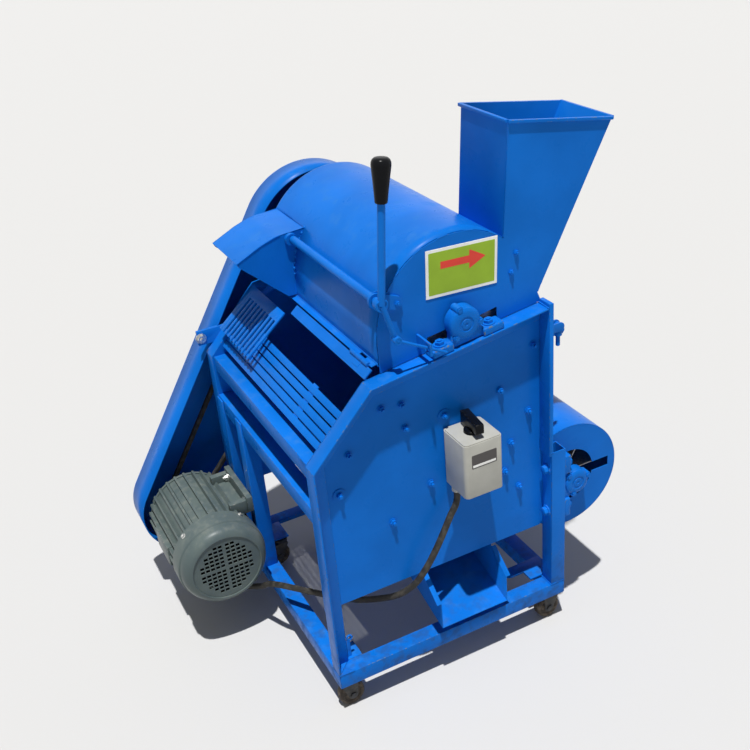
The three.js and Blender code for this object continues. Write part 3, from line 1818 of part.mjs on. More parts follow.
function switchAndCable() {
  const back = panelFace - gap;
  const front = back - switchDepth;
  const top = switchBottom + switchTall;
  const right = switchLeft + switchWidth;
  const body = join(
    prism("z", roundedPlan(switchLeft, right, front, back, switchRound), switchBottom, top - sheet),
    prism(
      "z",
      roundedPlan(
        switchLeft + sheet,
        right - sheet,
        front + sheet,
        back - sheet,
        switchRound,
      ),
      top - switchLidHeight,
      top,
    ),
    disc("z", switchGlandX, switchGlandY, glandRadius, switchBottom - glandLength, switchBottom + sheet, coarse),
  );
  add("switch_box", body, greyPlastic);

  const knobGroup = groupAt(knobX, knobY, top + gap);
  const half = knobBarWidth / 2;
  const knob = join(
    disc("z", 0, 0, knobRadius, 0, knobHeight, medium),
    prism(
      "z",
      roundedPlan(-half, half, -knobBarLength / 2, knobBarLength / 2, half / 2),
      knobHeight - gap,
      knobHeight + knobBarHeight,
    ),
  );
  add("switch_handle", knob, blackPlastic, knobGroup);
  add("motor_cable", cable(), cableSkin);
}

// The cable's way from the switch, round the near left post, to the motor: places chosen by hand
const cableRoute = [
  [258, 8, 385.7],
  [258, 8, 372],
  [254.5, 8, 357],
  [243, 7.5, 339],
  [225, 4.5, 310],
  [206, 2.5, 280],
  [186, 5, 247],
  [166, 14, 215],
  [141, 34, 188],
  [113, 60, 173],
  [82, 92, 162],
  [40, 150, 152],
  [9, 200, 143],
  [-14, baseWidth - 270, 134],
  [-24, baseWidth - 242, 120],
  [-30, baseWidth - 220, 102],
  [-45, baseWidth - 188, 84],
  [-66, baseWidth - 165, 78],
  [-73.3, baseWidth - 154, 78],
  [-73.3, baseWidth - 142.3, 78],
];

function cable() {
  const section = new THREE.Shape(
    arc(0, 0, cableRadius, 0, 360, cableSides)
      .slice(0, -1)
      .map(([u, v]) => new THREE.Vector2(u, v)),
  );
  const path = new THREE.CatmullRomCurve3(cableRoute.map((place) => new THREE.Vector3(...place)));
  return solid(
    new THREE.ExtrudeGeometry(section, { steps: cableSteps, bevelEnabled: false, extrudePath: path }),
  );
}

baseRails();
casters();
sideFrames();
rightPosts();
const latch = groupAt(latchX, latchY, latchHeight);
add("latch_bolt", latchBolt(), steel, latch);
panels();
strawEndRails();
motorRails();
bearings();
drum();
belts();
fan();
motor();
beltGuard();
hood();
lever();
concave();
slattedDeck();
comb();
grainPath();
switchAndCable();

// The origin is on the floor, under the middle of the machine's box.
const whole = new THREE.Box3();
machine.updateMatrixWorld(true);
machine.traverse((piece) => {
  if (piece.isMesh && piece.name !== "motor_cable") whole.expandByObject(piece, true);
});
machine.position.set(-(whole.min.x + whole.max.x) / 2, -(whole.min.y + whole.max.y) / 2, -whole.min.z);
const thresher = new THREE.Group();
thresher.add(machine);

export default thresher;
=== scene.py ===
import math

import bmesh
import bpy
from mathutils import Matrix, Vector


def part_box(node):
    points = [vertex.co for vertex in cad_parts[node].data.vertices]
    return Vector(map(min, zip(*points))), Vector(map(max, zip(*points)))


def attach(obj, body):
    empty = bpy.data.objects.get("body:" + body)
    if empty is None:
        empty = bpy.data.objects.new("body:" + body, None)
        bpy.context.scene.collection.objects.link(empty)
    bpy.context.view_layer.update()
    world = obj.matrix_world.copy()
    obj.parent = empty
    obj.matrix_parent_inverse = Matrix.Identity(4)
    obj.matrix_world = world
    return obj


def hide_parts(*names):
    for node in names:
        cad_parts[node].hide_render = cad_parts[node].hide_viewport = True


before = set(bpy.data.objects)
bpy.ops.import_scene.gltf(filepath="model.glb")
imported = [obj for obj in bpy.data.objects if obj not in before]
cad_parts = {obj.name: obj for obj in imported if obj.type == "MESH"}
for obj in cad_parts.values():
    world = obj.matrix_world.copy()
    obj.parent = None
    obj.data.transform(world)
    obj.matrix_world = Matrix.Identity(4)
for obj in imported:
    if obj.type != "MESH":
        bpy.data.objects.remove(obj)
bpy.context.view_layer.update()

MM = 0.001
CORNER = Vector((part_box("rail_left")[0][0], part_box("rail_near")[0][1], 0.0))


def at(x, y, z):
    """A place in mm from the near left corner of the base and from the floor."""
    return Vector((CORNER.x + x * MM, CORNER.y + y * MM, z * MM))


def link(name, data):
    """Puts a new object with this data into the scene."""
    made = bpy.data.objects.new(name, data)
    bpy.context.scene.collection.objects.link(made)
    return made


# Sizes shared with the solids, in mm

SHEET = 1.5
NEAR_SHEET, FAR_SHEET = (30.3, 31.8), (478.2, 479.7)
INSIDE_NEAR, INSIDE_FAR = 32.1, 477.9
TOP_X, TOP_Z, TOP_RISE, TOP_RUN = 112, 636, 43, 331
TILT = math.atan2(TOP_RISE, TOP_RUN)
RAIL_TOP = 93

DRUM_X, DRUM_Z = 288, 695.97
DRUM_BORE = 12.8
DRUM_START, DRUM_END = 46.1, 463.9
FAN_X, FAN_Z = 510, 306
FAN_BORE = 10.3
FAN_CASE, FAN_INLET = 106, 54
MOTOR_X, MOTOR_Z = -93.6, 184
MOTOR_BORE = 12.3
SHAFT_START, SHAFT_END = 3.8, 579
DRUM_PULLEYS, FAN_PULLEY, MOTOR_PULLEY = (90, 62), 45, 40
MOTOR_BELT_Y, FAN_BELT_Y = 551.5, 568.5
SHEAVE_REACH = 10.5

HOOD_R = 144
HOOD_FOOT = 656
HINGES = (75, 435)
HINGE_X, HINGE_Z = 132, 654
HOPPER_CORNERS = [(391, 994), (586, 962), (442, 698)]
HOPPER_FAR = 165.3
HOPPER_FOOT_X = 449
SPOUT_NEAR, SPOUT_FAR = 350, 476
LEVER_X, LEVER_Z = 145, 768
LEVER_HOLE = 7.4
LEVER_TOP_X, LEVER_TOP_Z = 160, 947
PIN_X, PIN_Z = 163, 707
LINK_Y = -2.8
GUIDE_X, GUIDE_Z = 214, 679
GUARD_NEAR, GUARD_BACK, GUARD_FAR = 510.3, 583, 585
GUARD_X, GUARD_Z = 273, 684


def top_line(x):
    """The height of the side panels' sloping top edge."""
    return TOP_Z + (x - TOP_X) * TOP_RISE / TOP_RUN


# Camera

CAMERA_ANGLES = (24.618, 28.883, -5.308)
CAMERA_LENS = 48.98
CAMERA_PLACE = (-447.1, -1240.0, 1412.4)


def set_camera():
    yaw, pitch, roll = (math.radians(a) for a in CAMERA_ANGLES)
    ahead = Vector((math.sin(yaw) * math.cos(pitch), math.cos(yaw) * math.cos(pitch), -math.sin(pitch)))
    level = Vector((math.cos(yaw), -math.sin(yaw), 0))
    above = level.cross(ahead)
    right = math.cos(roll) * level + math.sin(roll) * above
    up = math.cos(roll) * above - math.sin(roll) * level
    data = bpy.data.cameras.new("photo_camera")
    data.lens = CAMERA_LENS
    data.sensor_width = 36
    camera = link("photo_camera", data)
    camera.matrix_world = Matrix((right, up, -ahead)).transposed().to_4x4()
    camera.matrix_world.translation = at(*CAMERA_PLACE)
    bpy.context.scene.camera = camera


set_camera()


# Shader maths


class Number:
    """A number that varies over a surface, held as a socket of one network."""

    def __init__(self, network, socket):
        self.network = network
        self.socket = socket

    def maths(self, operation, *values):
        made = self.network.node("ShaderNodeMath", {"operation": operation}, *values)
        return Number(self.network, made)

    def __add__(self, other):
        return self.maths("ADD", self, other)

    __radd__ = __add__

    def __mul__(self, other):
        return self.maths("MULTIPLY", self, other)

    __rmul__ = __mul__

    def __sub__(self, other):
        return self.maths("SUBTRACT", self, other)

    def __rsub__(self, other):
        return self.maths("SUBTRACT", other, self)

    def between(self, low, high):
        """0 below low, 1 above high, smooth between."""
        settings = {"interpolation_type": "SMOOTHSTEP"}
        return Number(self.network, self.network.node("ShaderNodeMapRange", settings, self, low, high))


class Network:
    """A tree of nodes in the making."""

    def __init__(self, tree):
        self.tree = tree

    def node(self, kind, settings=None, *values, output=0, **named):
        """Adds a node, and feeds its sockets in their order or by their names."""
        made = self.tree.nodes.new(kind)
        for key, value in (settings or {}).items():
            setattr(made, key, value)
        for key, value in [*enumerate(values), *named.items()]:
            socket = made.inputs[key.replace("_", " ")] if isinstance(key, str) else made.inputs[key]
            self.feed(socket, value)
        return made.outputs[output]

    def feed(self, socket, value):
        """Links or sets a socket; a list holds several links."""
        for one in value if isinstance(value, list) else [value]:
            if isinstance(one, Number):
                one = one.socket
            if isinstance(one, bpy.types.NodeSocket):
                self.tree.links.new(one, socket)
            else:
                socket.default_value = one


class Finish(Network):
    """One procedural finish, built on the Principled shader."""

    def __init__(self, name, metallic=0.0, coat=0.0, specular=0.5):
        self.material = bpy.data.materials.new(name)
        self.material.use_nodes = True
        super().__init__(self.material.node_tree)
        self.shader = self.tree.nodes["Principled BSDF"]
        self.shader.inputs["Metallic"].default_value = metallic
        self.shader.inputs["Coat Weight"].default_value = coat
        self.shader.inputs["Coat Roughness"].default_value = 0.12
        self.shader.inputs["Specular IOR Level"].default_value = specular
        self.place = self.node("ShaderNodeTexCoord", output="Object")

    def speckle(self, scale, detail=3.0):
        return Number(self, self.node("ShaderNodeTexNoise", None, self.place, Scale=scale, Detail=detail))

    def edges(self):
        return Number(self, self.node("ShaderNodeAttribute", {"attribute_name": "edge"}, output="Fac"))

    def facing_up(self):
        normal = self.node("ShaderNodeNewGeometry", output="Normal")
        return Number(self, self.node("ShaderNodeSeparateXYZ", None, normal, output="Z"))

    def height(self):
        return Number(self, self.node("ShaderNodeSeparateXYZ", None, self.place, output="Z"))

    def blend(self, mask, under, over):
        mixed = self.node("ShaderNodeMix", {"data_type": "RGBA"}, mask, output=2)
        for index, value in ((6, under), (7, over)):
            self.feed(mixed.node.inputs[index], (*value, 1.0) if isinstance(value, tuple) else value)
        return mixed

    def relief(self, height, depth, strength=1.0, under=None):
        settings = {"Height": height, "Distance": depth, "Strength": strength}
        if under is not None:
            settings["Normal"] = under
        return self.node("ShaderNodeBump", None, **settings)

    def finish(self, colour, roughness, normal=None):
        self.feed(self.shader.inputs["Base Color"], colour)
        self.feed(self.shader.inputs["Roughness"], roughness)
        if normal is not None:
            self.feed(self.shader.inputs["Normal"], normal)
        return self.material


PAINT_DEEP, PAINT_CLEAR = (0.0035, 0.136, 0.55), (0.005, 0.163, 0.65)
PAINT_DUST, PAINT_GRIME, PAINT_CHIP = (0.06, 0.22, 0.55), (0.035, 0.05, 0.075), (0.10, 0.16, 0.26)
ENAMEL_DARK, ENAMEL_PALE = (0.082, 0.112, 0.115), (0.107, 0.138, 0.132)
ENAMEL_WORN, ENAMEL_DUST = (0.24, 0.245, 0.23), (0.24, 0.255, 0.225)
STEEL_STAIN = (0.12, 0.09, 0.07)


def blue_paint(name="blue_paint", rough=0.0):
    """Brushed-on gloss enamel: cloudy colour, dust on top, chipped edges, spatter."""
    f = Finish(name, specular=0.06)
    cloud = f.speckle(7.0, 4.0).between(0.35, 0.7)
    colour = f.blend(cloud, PAINT_DEEP, PAINT_CLEAR)
    dust = f.facing_up().between(0.5, 0.95) * f.speckle(45.0, 5.0).between(0.5, 0.78) * 0.35
    colour = f.blend(dust, colour, PAINT_DUST)
    grime = (1.0 - f.height().between(0.03, 0.22)) * f.speckle(60.0, 6.0).between(0.42, 0.7) * 0.5
    colour = f.blend(grime, colour, PAINT_GRIME)
    chips = f.edges() * f.speckle(150.0, 4.0).between(0.56, 0.62)
    colour = f.blend(chips, colour, PAINT_CHIP)
    roughness = f.speckle(30.0, 4.0) * 0.2 + 0.2 + dust * 0.5 + grime * 0.4
    ripple = f.relief(f.speckle(14.0, 2.0), 0.0022, 0.45)
    peel = f.relief(f.speckle(520.0, 2.0), 0.00012 + rough * 0.0016, 0.5, ripple)
    return f.finish(colour, roughness, peel)


def motor_enamel():
    """Grey-green enamel on castings: faint clouds, bare edges, dust on top."""
    f = Finish("motor_enamel", specular=0.2)
    cloud = f.speckle(22.0, 4.0)
    colour = f.blend(cloud.between(0.3, 0.7), ENAMEL_DARK, ENAMEL_PALE)
    worn = f.edges() * f.speckle(240.0, 4.0).between(0.55, 0.64)
    colour = f.blend(worn, colour, ENAMEL_WORN)
    dust = f.facing_up().between(0.4, 0.9) * f.speckle(70.0, 5.0).between(0.45, 0.75) * 0.35
    colour = f.blend(dust, colour, ENAMEL_DUST)
    normal = f.relief(f.speckle(420.0, 3.0), 0.00025, 0.5)
    return f.finish(colour, cloud * 0.2 + 0.27 + dust * 0.4, normal)


def bright_steel(name, tone, rough):
    """Bare or plated steel with dull streaks and brown stains."""
    f = Finish(name, metallic=1.0)
    streak = f.speckle(260.0, 3.0)
    colour = f.blend(streak.between(0.3, 0.75), tuple(t * 0.72 for t in tone), tone)
    stain = f.speckle(40.0, 5.0).between(0.6, 0.75) * 0.6
    colour = f.blend(stain, colour, STEEL_STAIN)
    return f.finish(colour, streak * 0.25 + rough + stain * 0.3, f.relief(streak, 0.00012, 0.5))


def moulded(name, tone, worn_tone, rough, specular=0.4):
    """Moulded plastic or printed sheet: a fine grain, and paler where its edges are rubbed."""
    f = Finish(name, specular=specular)
    cloud = f.speckle(25.0, 4.0)
    colour = f.blend(cloud.between(0.35, 0.7), tone, tuple(t * 1.12 for t in tone))
    worn = f.edges() * f.speckle(180.0, 4.0).between(0.5, 0.62)
    colour = f.blend(worn * 0.7, colour, worn_tone)
    return f.finish(colour, cloud * 0.15 + rough, f.relief(f.speckle(600.0, 2.0), 0.00008, 0.5))


def dusty_rubber(name, tone, dust_tone, amount):
    """A dull dark skin with field dust on it."""
    f = Finish(name, specular=0.3)
    dust = f.speckle(90.0, 6.0).between(0.42, 0.7) * amount
    colour = f.blend(dust, tone, dust_tone)
    return f.finish(colour, dust * 0.25 + 0.62, f.relief(f.speckle(500.0, 4.0), 0.0002, 0.5))


BLUE = blue_paint()
CAST_BLUE = blue_paint("cast_blue_paint", rough=1.0)
MOTOR = motor_enamel()
STEEL = bright_steel("worn_steel", (0.48, 0.48, 0.49), 0.3)
ZINC = bright_steel("zinc_bolt", (0.78, 0.78, 0.76), 0.18)
BLACK = moulded("black_plastic", (0.004, 0.0045, 0.006), (0.02, 0.02, 0.02), 0.18, specular=0.1)
GREY = moulded("switch_shell", (0.40, 0.40, 0.365), (0.5, 0.5, 0.48), 0.38, specular=0.25)
LABEL = moulded("blank_label", (0.06, 0.055, 0.055), (0.3, 0.3, 0.3), 0.35)
WHITE = moulded("sign_white", (0.80, 0.81, 0.79), (0.5, 0.5, 0.5), 0.35)
GREEN = moulded("sign_green", (0.28, 0.44, 0.03), (0.4, 0.45, 0.2), 0.35, specular=0.2)
RED = moulded("sign_red", (0.70, 0.042, 0.024), (0.7, 0.2, 0.1), 0.35)
BELT = dusty_rubber("belt_rubber", (0.018, 0.018, 0.018), (0.09, 0.085, 0.08), 0.5)
CABLE = dusty_rubber("cable_rubber", (0.02, 0.019, 0.017), (0.12, 0.11, 0.09), 0.35)
TREAD = dusty_rubber("caster_tread", (0.035, 0.026, 0.02), (0.16, 0.13, 0.10), 0.8)
CASTER = dusty_rubber("caster_metal", (0.038, 0.040, 0.043), (0.13, 0.12, 0.105), 0.5)
SLOTS = {
    "blue_paint": (BLUE, CAST_BLUE),
    "motor_paint": (MOTOR,),
    "steel": (STEEL, ZINC, CASTER),
    "black_plastic": (BLACK, LABEL),
    "switch_plastic": (GREY,),
    "sign": (GREEN, WHITE, RED),
    "belt_rubber": (BELT,),
    "cable_skin": (CABLE,),
    "caster_tread": (TREAD,),
}


# Making meshes


def mesh_of(name, bm):
    mesh = bpy.data.meshes.new(name)
    bm.to_mesh(mesh)
    bm.free()
    return mesh


def shade(mesh, angle=35.0):
    mesh.shade_smooth()
    mesh.set_sharp_from_angle(angle=math.radians(angle))


def settle(piece, finish, body, *nodes, slot=None):
    """Gives a piece its finish, its body and the nodes that it stands for."""
    if not piece.data.materials:
        piece.data.materials.append(finish)
    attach(piece, body)
    if nodes:
        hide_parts(*nodes)
    slot or next(k for k, v in SLOTS.items() if finish in v)
    return piece


def edge_layer(bm):
    """The layer that tells the finishes which faces are rounded edges."""
    return bm.loops.layers.float.get("edge") or bm.loops.layers.float.new("edge")


def soften(bm, width, segments=2, angle=35.0):
    """Rounds the sharp edges and marks the new faces as edges."""
    if width <= 0:
        return bm
    layer = edge_layer(bm)
    sharp = [e for e in bm.edges if len(e.link_faces) == 2 and e.calc_face_angle(0) > math.radians(angle)]
    settings = {"offset_type": "OFFSET", "profile": 0.5, "affect": "EDGES", "clamp_overlap": True}
    made = bmesh.ops.bevel(bm, geom=sharp, offset=width, segments=segments, **settings)
    for face in made["faces"]:
        for corner in face.loops:
            corner[layer] = 1.0
    return bm


class Shape:
    """A mesh in the making, with sizes in mm from the corner of the base."""

    def __init__(self):
        self.bm = bmesh.new()
        edge_layer(self.bm)
        self.place = Matrix.Identity(4)

    def take(self, other, matrix=None):
        """Adds another bmesh, given in mm."""
        edge_layer(other)
        move = self.place @ (matrix or Matrix.Identity(4))
        for v in other.verts:
            v.co = move @ v.co
        if move.determinant() < 0:
            bmesh.ops.reverse_faces(other, faces=other.faces[:])
        mesh = mesh_of("part", other)
        self.bm.from_mesh(mesh)
        bpy.data.meshes.remove(mesh)
        return self

    def block(self, x0, x1, y0, y1, z0, z1, width=0.5, matrix=None, segments=2):
        bm = bmesh.new()
        bmesh.ops.create_cube(bm, size=1.0)
        size = Vector((x1 - x0, y1 - y0, z1 - z0))
        middle = Vector((x0 + x1, y0 + y1, z0 + z1)) / 2
        for v in bm.verts:
            v.co = Vector((v.co.x * size.x, v.co.y * size.y, v.co.z * size.z)) + middle
        return self.take(soften(bm, width, segments), matrix)

    def slab(self, axis, outline, low, high, holes=(), width=0.3, matrix=None, segments=1):
        """A flat outline with holes, given thickness along an axis."""
        bm = bmesh.new()
        for ring in (outline, *holes):
            corners = [bm.verts.new((u, v, 0)) for u, v in ring]
            for a, b in zip(corners, corners[1:] + corners[:1]):
                bm.edges.new((a, b))
        bmesh.ops.triangle_fill(bm, use_beauty=True, edges=bm.edges[:])
        made = bmesh.ops.extrude_face_region(bm, geom=bm.faces[:])
        for item in made["geom"]:
            if isinstance(item, bmesh.types.BMVert):
                item.co.z = high - low
        bmesh.ops.recalc_face_normals(bm, faces=bm.faces[:])
        soften(bm, width, segments, 40.0)
        turn = {
            "x": Matrix(((0, 0, 1, low), (1, 0, 0, 0), (0, 1, 0, 0), (0, 0, 0, 1))),
            "y": Matrix(((1, 0, 0, 0), (0, 0, -1, high), (0, 1, 0, 0), (0, 0, 0, 1))),
            "z": Matrix.Translation((0, 0, low)),
        }[axis]
        return self.take(bm, (matrix or Matrix.Identity(4)) @ turn)

    def turned(self, profile, centre=(0, 0, 0), axis="y", sides=64, matrix=None):
        """A profile of (radius, place along the axis) turned into a closed round piece."""
        bm = bmesh.new()
        rings = []
        closed = profile[0] == profile[-1]
        for radius, along in profile[: len(profile) - closed]:
            ring = []
            for i in range(sides):
                a = 2 * math.pi * i / sides
                ring.append(bm.verts.new((radius * math.cos(a), radius * math.sin(a), along)))
            rings.append(ring)
        for first, second in zip(rings, rings[1:] + rings[:closed]):
            for i in range(sides):
                j = (i + 1) % sides
                bm.faces.new((first[i], first[j], second[j], second[i]))
        if profile[0][0] < 1e-6 or profile[-1][0] < 1e-6:
            bmesh.ops.remove_doubles(bm, verts=bm.verts[:], dist=1e-5)
        ends = [e for e in bm.edges if len(e.link_faces) == 1]
        if ends:
            bmesh.ops.holes_fill(bm, edges=ends, sides=sides + 1)
        bmesh.ops.recalc_face_normals(bm, faces=bm.faces[:])
        turn = {
            "x": Matrix(((0, 0, 1, 0), (1, 0, 0, 0), (0, 1, 0, 0), (0, 0, 0, 1))),
            "y": Matrix(((0, 1, 0, 0), (0, 0, 1, 0), (1, 0, 0, 0), (0, 0, 0, 1))),
            "z": Matrix.Identity(4),
        }[axis]
        return self.take(bm, (matrix or Matrix.Identity(4)) @ Matrix.Translation(centre) @ turn)

    def rod(self, start, end, radius, sides=24, round_end=0.0, matrix=None):
        start, end = Vector(start), Vector(end)
        length = (end - start).length
        turn = (end - start).to_track_quat("Z", "Y").to_matrix().to_4x4()
        e = round_end
        profile = [(0, 0), (radius, 0), (radius, length), (0, length)]
        if e:
            profile[1:3] = [(radius - e, 0), (radius, e), (radius, length - e), (radius - e, length)]
        place = (matrix or Matrix.Identity(4)) @ Matrix.Translation(start) @ turn
        return self.turned(profile, axis="z", sides=sides, matrix=place)

    def pin(self, x, z, low, high, radius, sides=24, round_end=0.0, matrix=None):
        """A rod that lies square to the side panels."""
        return self.rod((x, low, z), (x, high, z), radius, sides, round_end, matrix)

    def piece(self, name, finish, body, *nodes, smooth=35.0, slot=None):
        """Ends the making: the mesh goes to its place in metres."""
        for v in self.bm.verts:
            v.co = at(*v.co)
        mesh = mesh_of(name, self.bm)
        shade(mesh, smooth)
        return settle(link(name, mesh), finish, body, *nodes, slot=slot)


def arc(u, v, radius, start, end, steps):
    """Points on a circle, from one angle to another."""
    points = []
    for i in range(steps + 1):
        a = math.radians(start + (end - start) * i / steps)
        points.append((u + radius * math.cos(a), v + radius * math.sin(a)))
    return points


def circle(u, v, radius, sides=48):
    return arc(u, v, radius, 0, 360, sides)[:-1]


def collar(inner, outer, low, high, bevel=0):
    """The closed profile of a ring, with its outer corners bevelled."""
    if not bevel:
        return [(inner, low), (outer, low), (outer, high), (inner, high), (inner, low)]
    start, end = low + bevel, high - bevel
    rim = [(outer - bevel, low), (outer, start), (outer, end), (outer - bevel, high)]
    return [(inner, low), *rim, (inner, high), (inner, low)]


def around(x, z, angle=0.0):
    """A turn about an axis that runs away from the camera's side through x, z."""
    return Matrix.Translation((x, 0, z)) @ Matrix.Rotation(angle, 4, "Y")


def loop(u1, v1, r1, u2, v2, r2, steps=48):
    """The tight loop round two circles."""
    heading = math.degrees(math.atan2(v2 - v1, u2 - u1))
    spread = math.degrees(math.acos((r1 - r2) / math.hypot(u2 - u1, v2 - v1)))
    first = arc(u1, v1, r1, heading + spread, heading + 360 - spread, steps)
    return first + arc(u2, v2, r2, heading - spread, heading + spread, steps)


def rounded(path, radius, steps=8):
    """A path whose inner corners are rounded."""
    points = [path[0]]
    for before, here, after in zip(path, path[1:], path[2:]):
        a = (Vector(before) - Vector(here)).normalized()
        b = (Vector(after) - Vector(here)).normalized()
        half = a.angle(b) / 2
        reach = radius / math.tan(half)
        for i in range(steps + 1):
            t = i / steps
            p = Vector(here) + a * reach * (1 - t) ** 2 + b * reach * t**2
            points.append((p.x, p.y))
    return points + [path[-1]]


def band(path, width):
    """A path given a width on its right-hand side, with mitred corners."""
    normals = []
    for (u0, v0), (u1, v1) in zip(path, path[1:]):
        along = Vector((u1 - u0, v1 - v0)).normalized()
        normals.append(Vector((along.y, -along.x)))
    other = []
    for i, (u, v) in enumerate(path):
        before, after = normals[max(i - 1, 0)], normals[min(i, len(normals) - 1)]
        mitre = (before + after).normalized()
        reach = width / mitre.dot(before)
        other.append((u + mitre.x * reach, v + mitre.y * reach))
    return list(path) + other[::-1]


def refined(node, finish, body, width=0.6, segments=2):
    """A copy of a CAD node with its flat faces joined and its edges rounded."""
    bm = bmesh.new()
    bm.from_mesh(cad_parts[node].data)
    bmesh.ops.remove_doubles(bm, verts=bm.verts[:], dist=4e-6)
    bmesh.ops.dissolve_limit(
        bm, angle_limit=math.radians(1), verts=bm.verts[:], edges=bm.edges[:], use_dissolve_boundaries=False
    )
    mesh = mesh_of(node, soften(bm, width * MM, segments))
    shade(mesh)
    return settle(link("fine_" + node, mesh), finish, body, node)


# Repeats by Geometry Nodes


class Recipe(Network):
    """A Geometry Nodes tree with named inputs."""

    def __init__(self, name, **inputs):
        super().__init__(bpy.data.node_groups.new(name, "GeometryNodeTree"))
        face = self.tree.interface
        face.new_socket(name="Seats", in_out="INPUT", socket_type="NodeSocketGeometry")
        for label, value in inputs.items():
            kind = "NodeSocketInt" if isinstance(value, int) else "NodeSocketFloat"
            made = face.new_socket(name=label, in_out="INPUT", socket_type=kind)
            made.default_value = value
        face.new_socket(name="Finish", in_out="INPUT", socket_type="NodeSocketMaterial")
        face.new_socket(name="Result", in_out="OUTPUT", socket_type="NodeSocketGeometry")
        self.given = self.tree.nodes.new("NodeGroupInput")
        self.result = self.tree.nodes.new("NodeGroupOutput")

    def __getitem__(self, label):
        return self.given.outputs[label]

    def end(self, geometry):
        real = self.node("GeometryNodeRealizeInstances", Geometry=geometry)
        done = self.node("GeometryNodeSetMaterial", Geometry=real, Material=self["Finish"])
        self.feed(self.result.inputs[0], done)
        return self

    def grow(self, name, seats, finish, body, *nodes, smooth=35.0, **sizes):
        """Runs the recipe on a mesh of seats, and bakes the result into a plain piece."""
        piece = link(name, seats)
        modifier = piece.modifiers.new("repeat", "NODES")
        modifier.node_group = self.tree
        given = {"Finish": finish, **sizes}
        for item in self.tree.interface.items_tree:
            if item.item_type == "SOCKET" and item.in_out == "INPUT" and item.name in given:
                modifier[item.identifier] = given[item.name]
        graph = bpy.context.evaluated_depsgraph_get()
        baked = bpy.data.meshes.new_from_object(piece.evaluated_get(graph))
        piece.modifiers.clear()
        piece.data = baked
        baked.name = name
        shade(baked, smooth)
        return settle(piece, finish, body, *nodes)


def seats_mesh(places):
    """Points with the direction that each repeat points in; places are in mm."""
    mesh = bpy.data.meshes.new("seats")
    mesh.from_pydata([at(*p) for p, _ in places], [], [])
    outward = mesh.attributes.new("outward", "FLOAT_VECTOR", "POINT")
    for item, (_, direction) in zip(outward.data, places):
        item.vector = direction
    return mesh


def bolt_recipe():
    """Washer, hexagon and rounded stud on every seat."""
    washer_size = {"Washer": 0.008, "WasherThickness": 0.0015}
    r = Recipe("bolts", **washer_size, Head=0.006, HeadHeight=0.005, Stud=0.003, StudLength=0.005)

    def cylinder(sides, radius, depth, base):
        made = r.node("GeometryNodeMeshCylinder", Vertices=sides, Radius=radius, Depth=depth)
        half = r.node("ShaderNodeMath", {"operation": "MULTIPLY_ADD"}, depth, 0.5, base)
        lift = r.node("ShaderNodeCombineXYZ", Z=half)
        return r.node("GeometryNodeTransform", Geometry=made, Translation=lift)

    washer = cylinder(24, r["Washer"], r["WasherThickness"], 0.0)
    head = cylinder(6, r["Head"], r["HeadHeight"], r["WasherThickness"])
    top = r.node("ShaderNodeMath", {"operation": "ADD"}, r["WasherThickness"], r["HeadHeight"])
    stud = cylinder(12, r["Stud"], r["StudLength"], top)
    bolt = r.node("GeometryNodeJoinGeometry", Geometry=[washer, head, stud])
    direction = r.node("GeometryNodeInputNamedAttribute", {"data_type": "FLOAT_VECTOR"}, Name="outward")
    turn = r.node("FunctionNodeAlignRotationToVector", {"axis": "Z"}, Vector=direction)
    placed = r.node("GeometryNodeInstanceOnPoints", Points=r["Seats"], Instance=bolt, Rotation=turn)
    return r.end(placed)


def weld_recipe():
    """A bead of overlapping drops along a line."""
    r = Recipe("weld", Pitch=0.0028, Radius=0.0021)
    line = r.node("GeometryNodeMeshToCurve", Mesh=r["Seats"])
    points = r.node("GeometryNodeCurveToPoints", {"mode": "LENGTH"}, Curve=line, Length=r["Pitch"])
    drop = r.node("GeometryNodeMeshUVSphere", Segments=8, Rings=5, Radius=r["Radius"])
    spread = r.node("FunctionNodeRandomValue", {"data_type": "FLOAT"}, output=1, Seed=7)
    low, high = spread.node.inputs[2], spread.node.inputs[3]
    low.default_value, high.default_value = 0.75, 1.15
    placed = r.node("GeometryNodeInstanceOnPoints", Points=points, Instance=drop, Scale=spread)
    return r.end(placed)


BOLTS = bolt_recipe()
WELD = weld_recipe()
LEFT, RIGHT, NEARWARD, FARWARD = (-1, 0, 0), (1, 0, 0), (0, -1, 0), (0, 1, 0)
BOLT_INPUTS = ("Washer", "WasherThickness", "Head", "HeadHeight", "Stud", "StudLength")
PANEL_BOLT = (7.2, 1.2, 5.6, 4.4, 2.9, 4.6)
BIG_PANEL_BOLT = (11.5, 1.6, 5.6, 4.4, 2.9, 4.6)
BEARING_BOLT = (11, 2, 8, 5, 4, 2)
HOOD_BOLT = (5.2, 0.8, 4.2, 3.2, 2.0, 2.4)
GUARD_BOLT = (10.6, 2.6, 8, 6.4, 3.6, 3)
MOTOR_BOLT = (10.5, 2, 7.6, 5.4, 4, 2.5)
MOTOR_NUT = (10.5, 2, 7.6, 5.4, 4, 9)
COWL_SCREW = (5, 1, 4, 3, 2, 1)


def bolts(name, places, direction, finish, body, sizes):
    """Bolts of one size; sizes are radii and thicknesses in mm, in the order of BOLT_INPUTS."""
    metres = {key: value * MM for key, value in zip(BOLT_INPUTS, sizes)}
    BOLTS.grow(name, seats_mesh([(p, direction) for p in places]), finish, body, **metres)


def weld(name, lines, body, radius=2.0, pitch=1.3):
    """Beads along lines of places in mm; the pitch is a multiple of the beads' radius."""
    mesh = bpy.data.meshes.new("line")
    points, edges = [], []
    for line in lines:
        start = len(points)
        points += [at(*p) for p in line]
        edges += [(start + i, start + i + 1) for i in range(len(line) - 1)]
    mesh.from_pydata(points, edges, [])
    WELD.grow(name, mesh, BLUE, body, smooth=60.0, Radius=radius * MM, Pitch=radius * pitch * MM)


# Motor cable


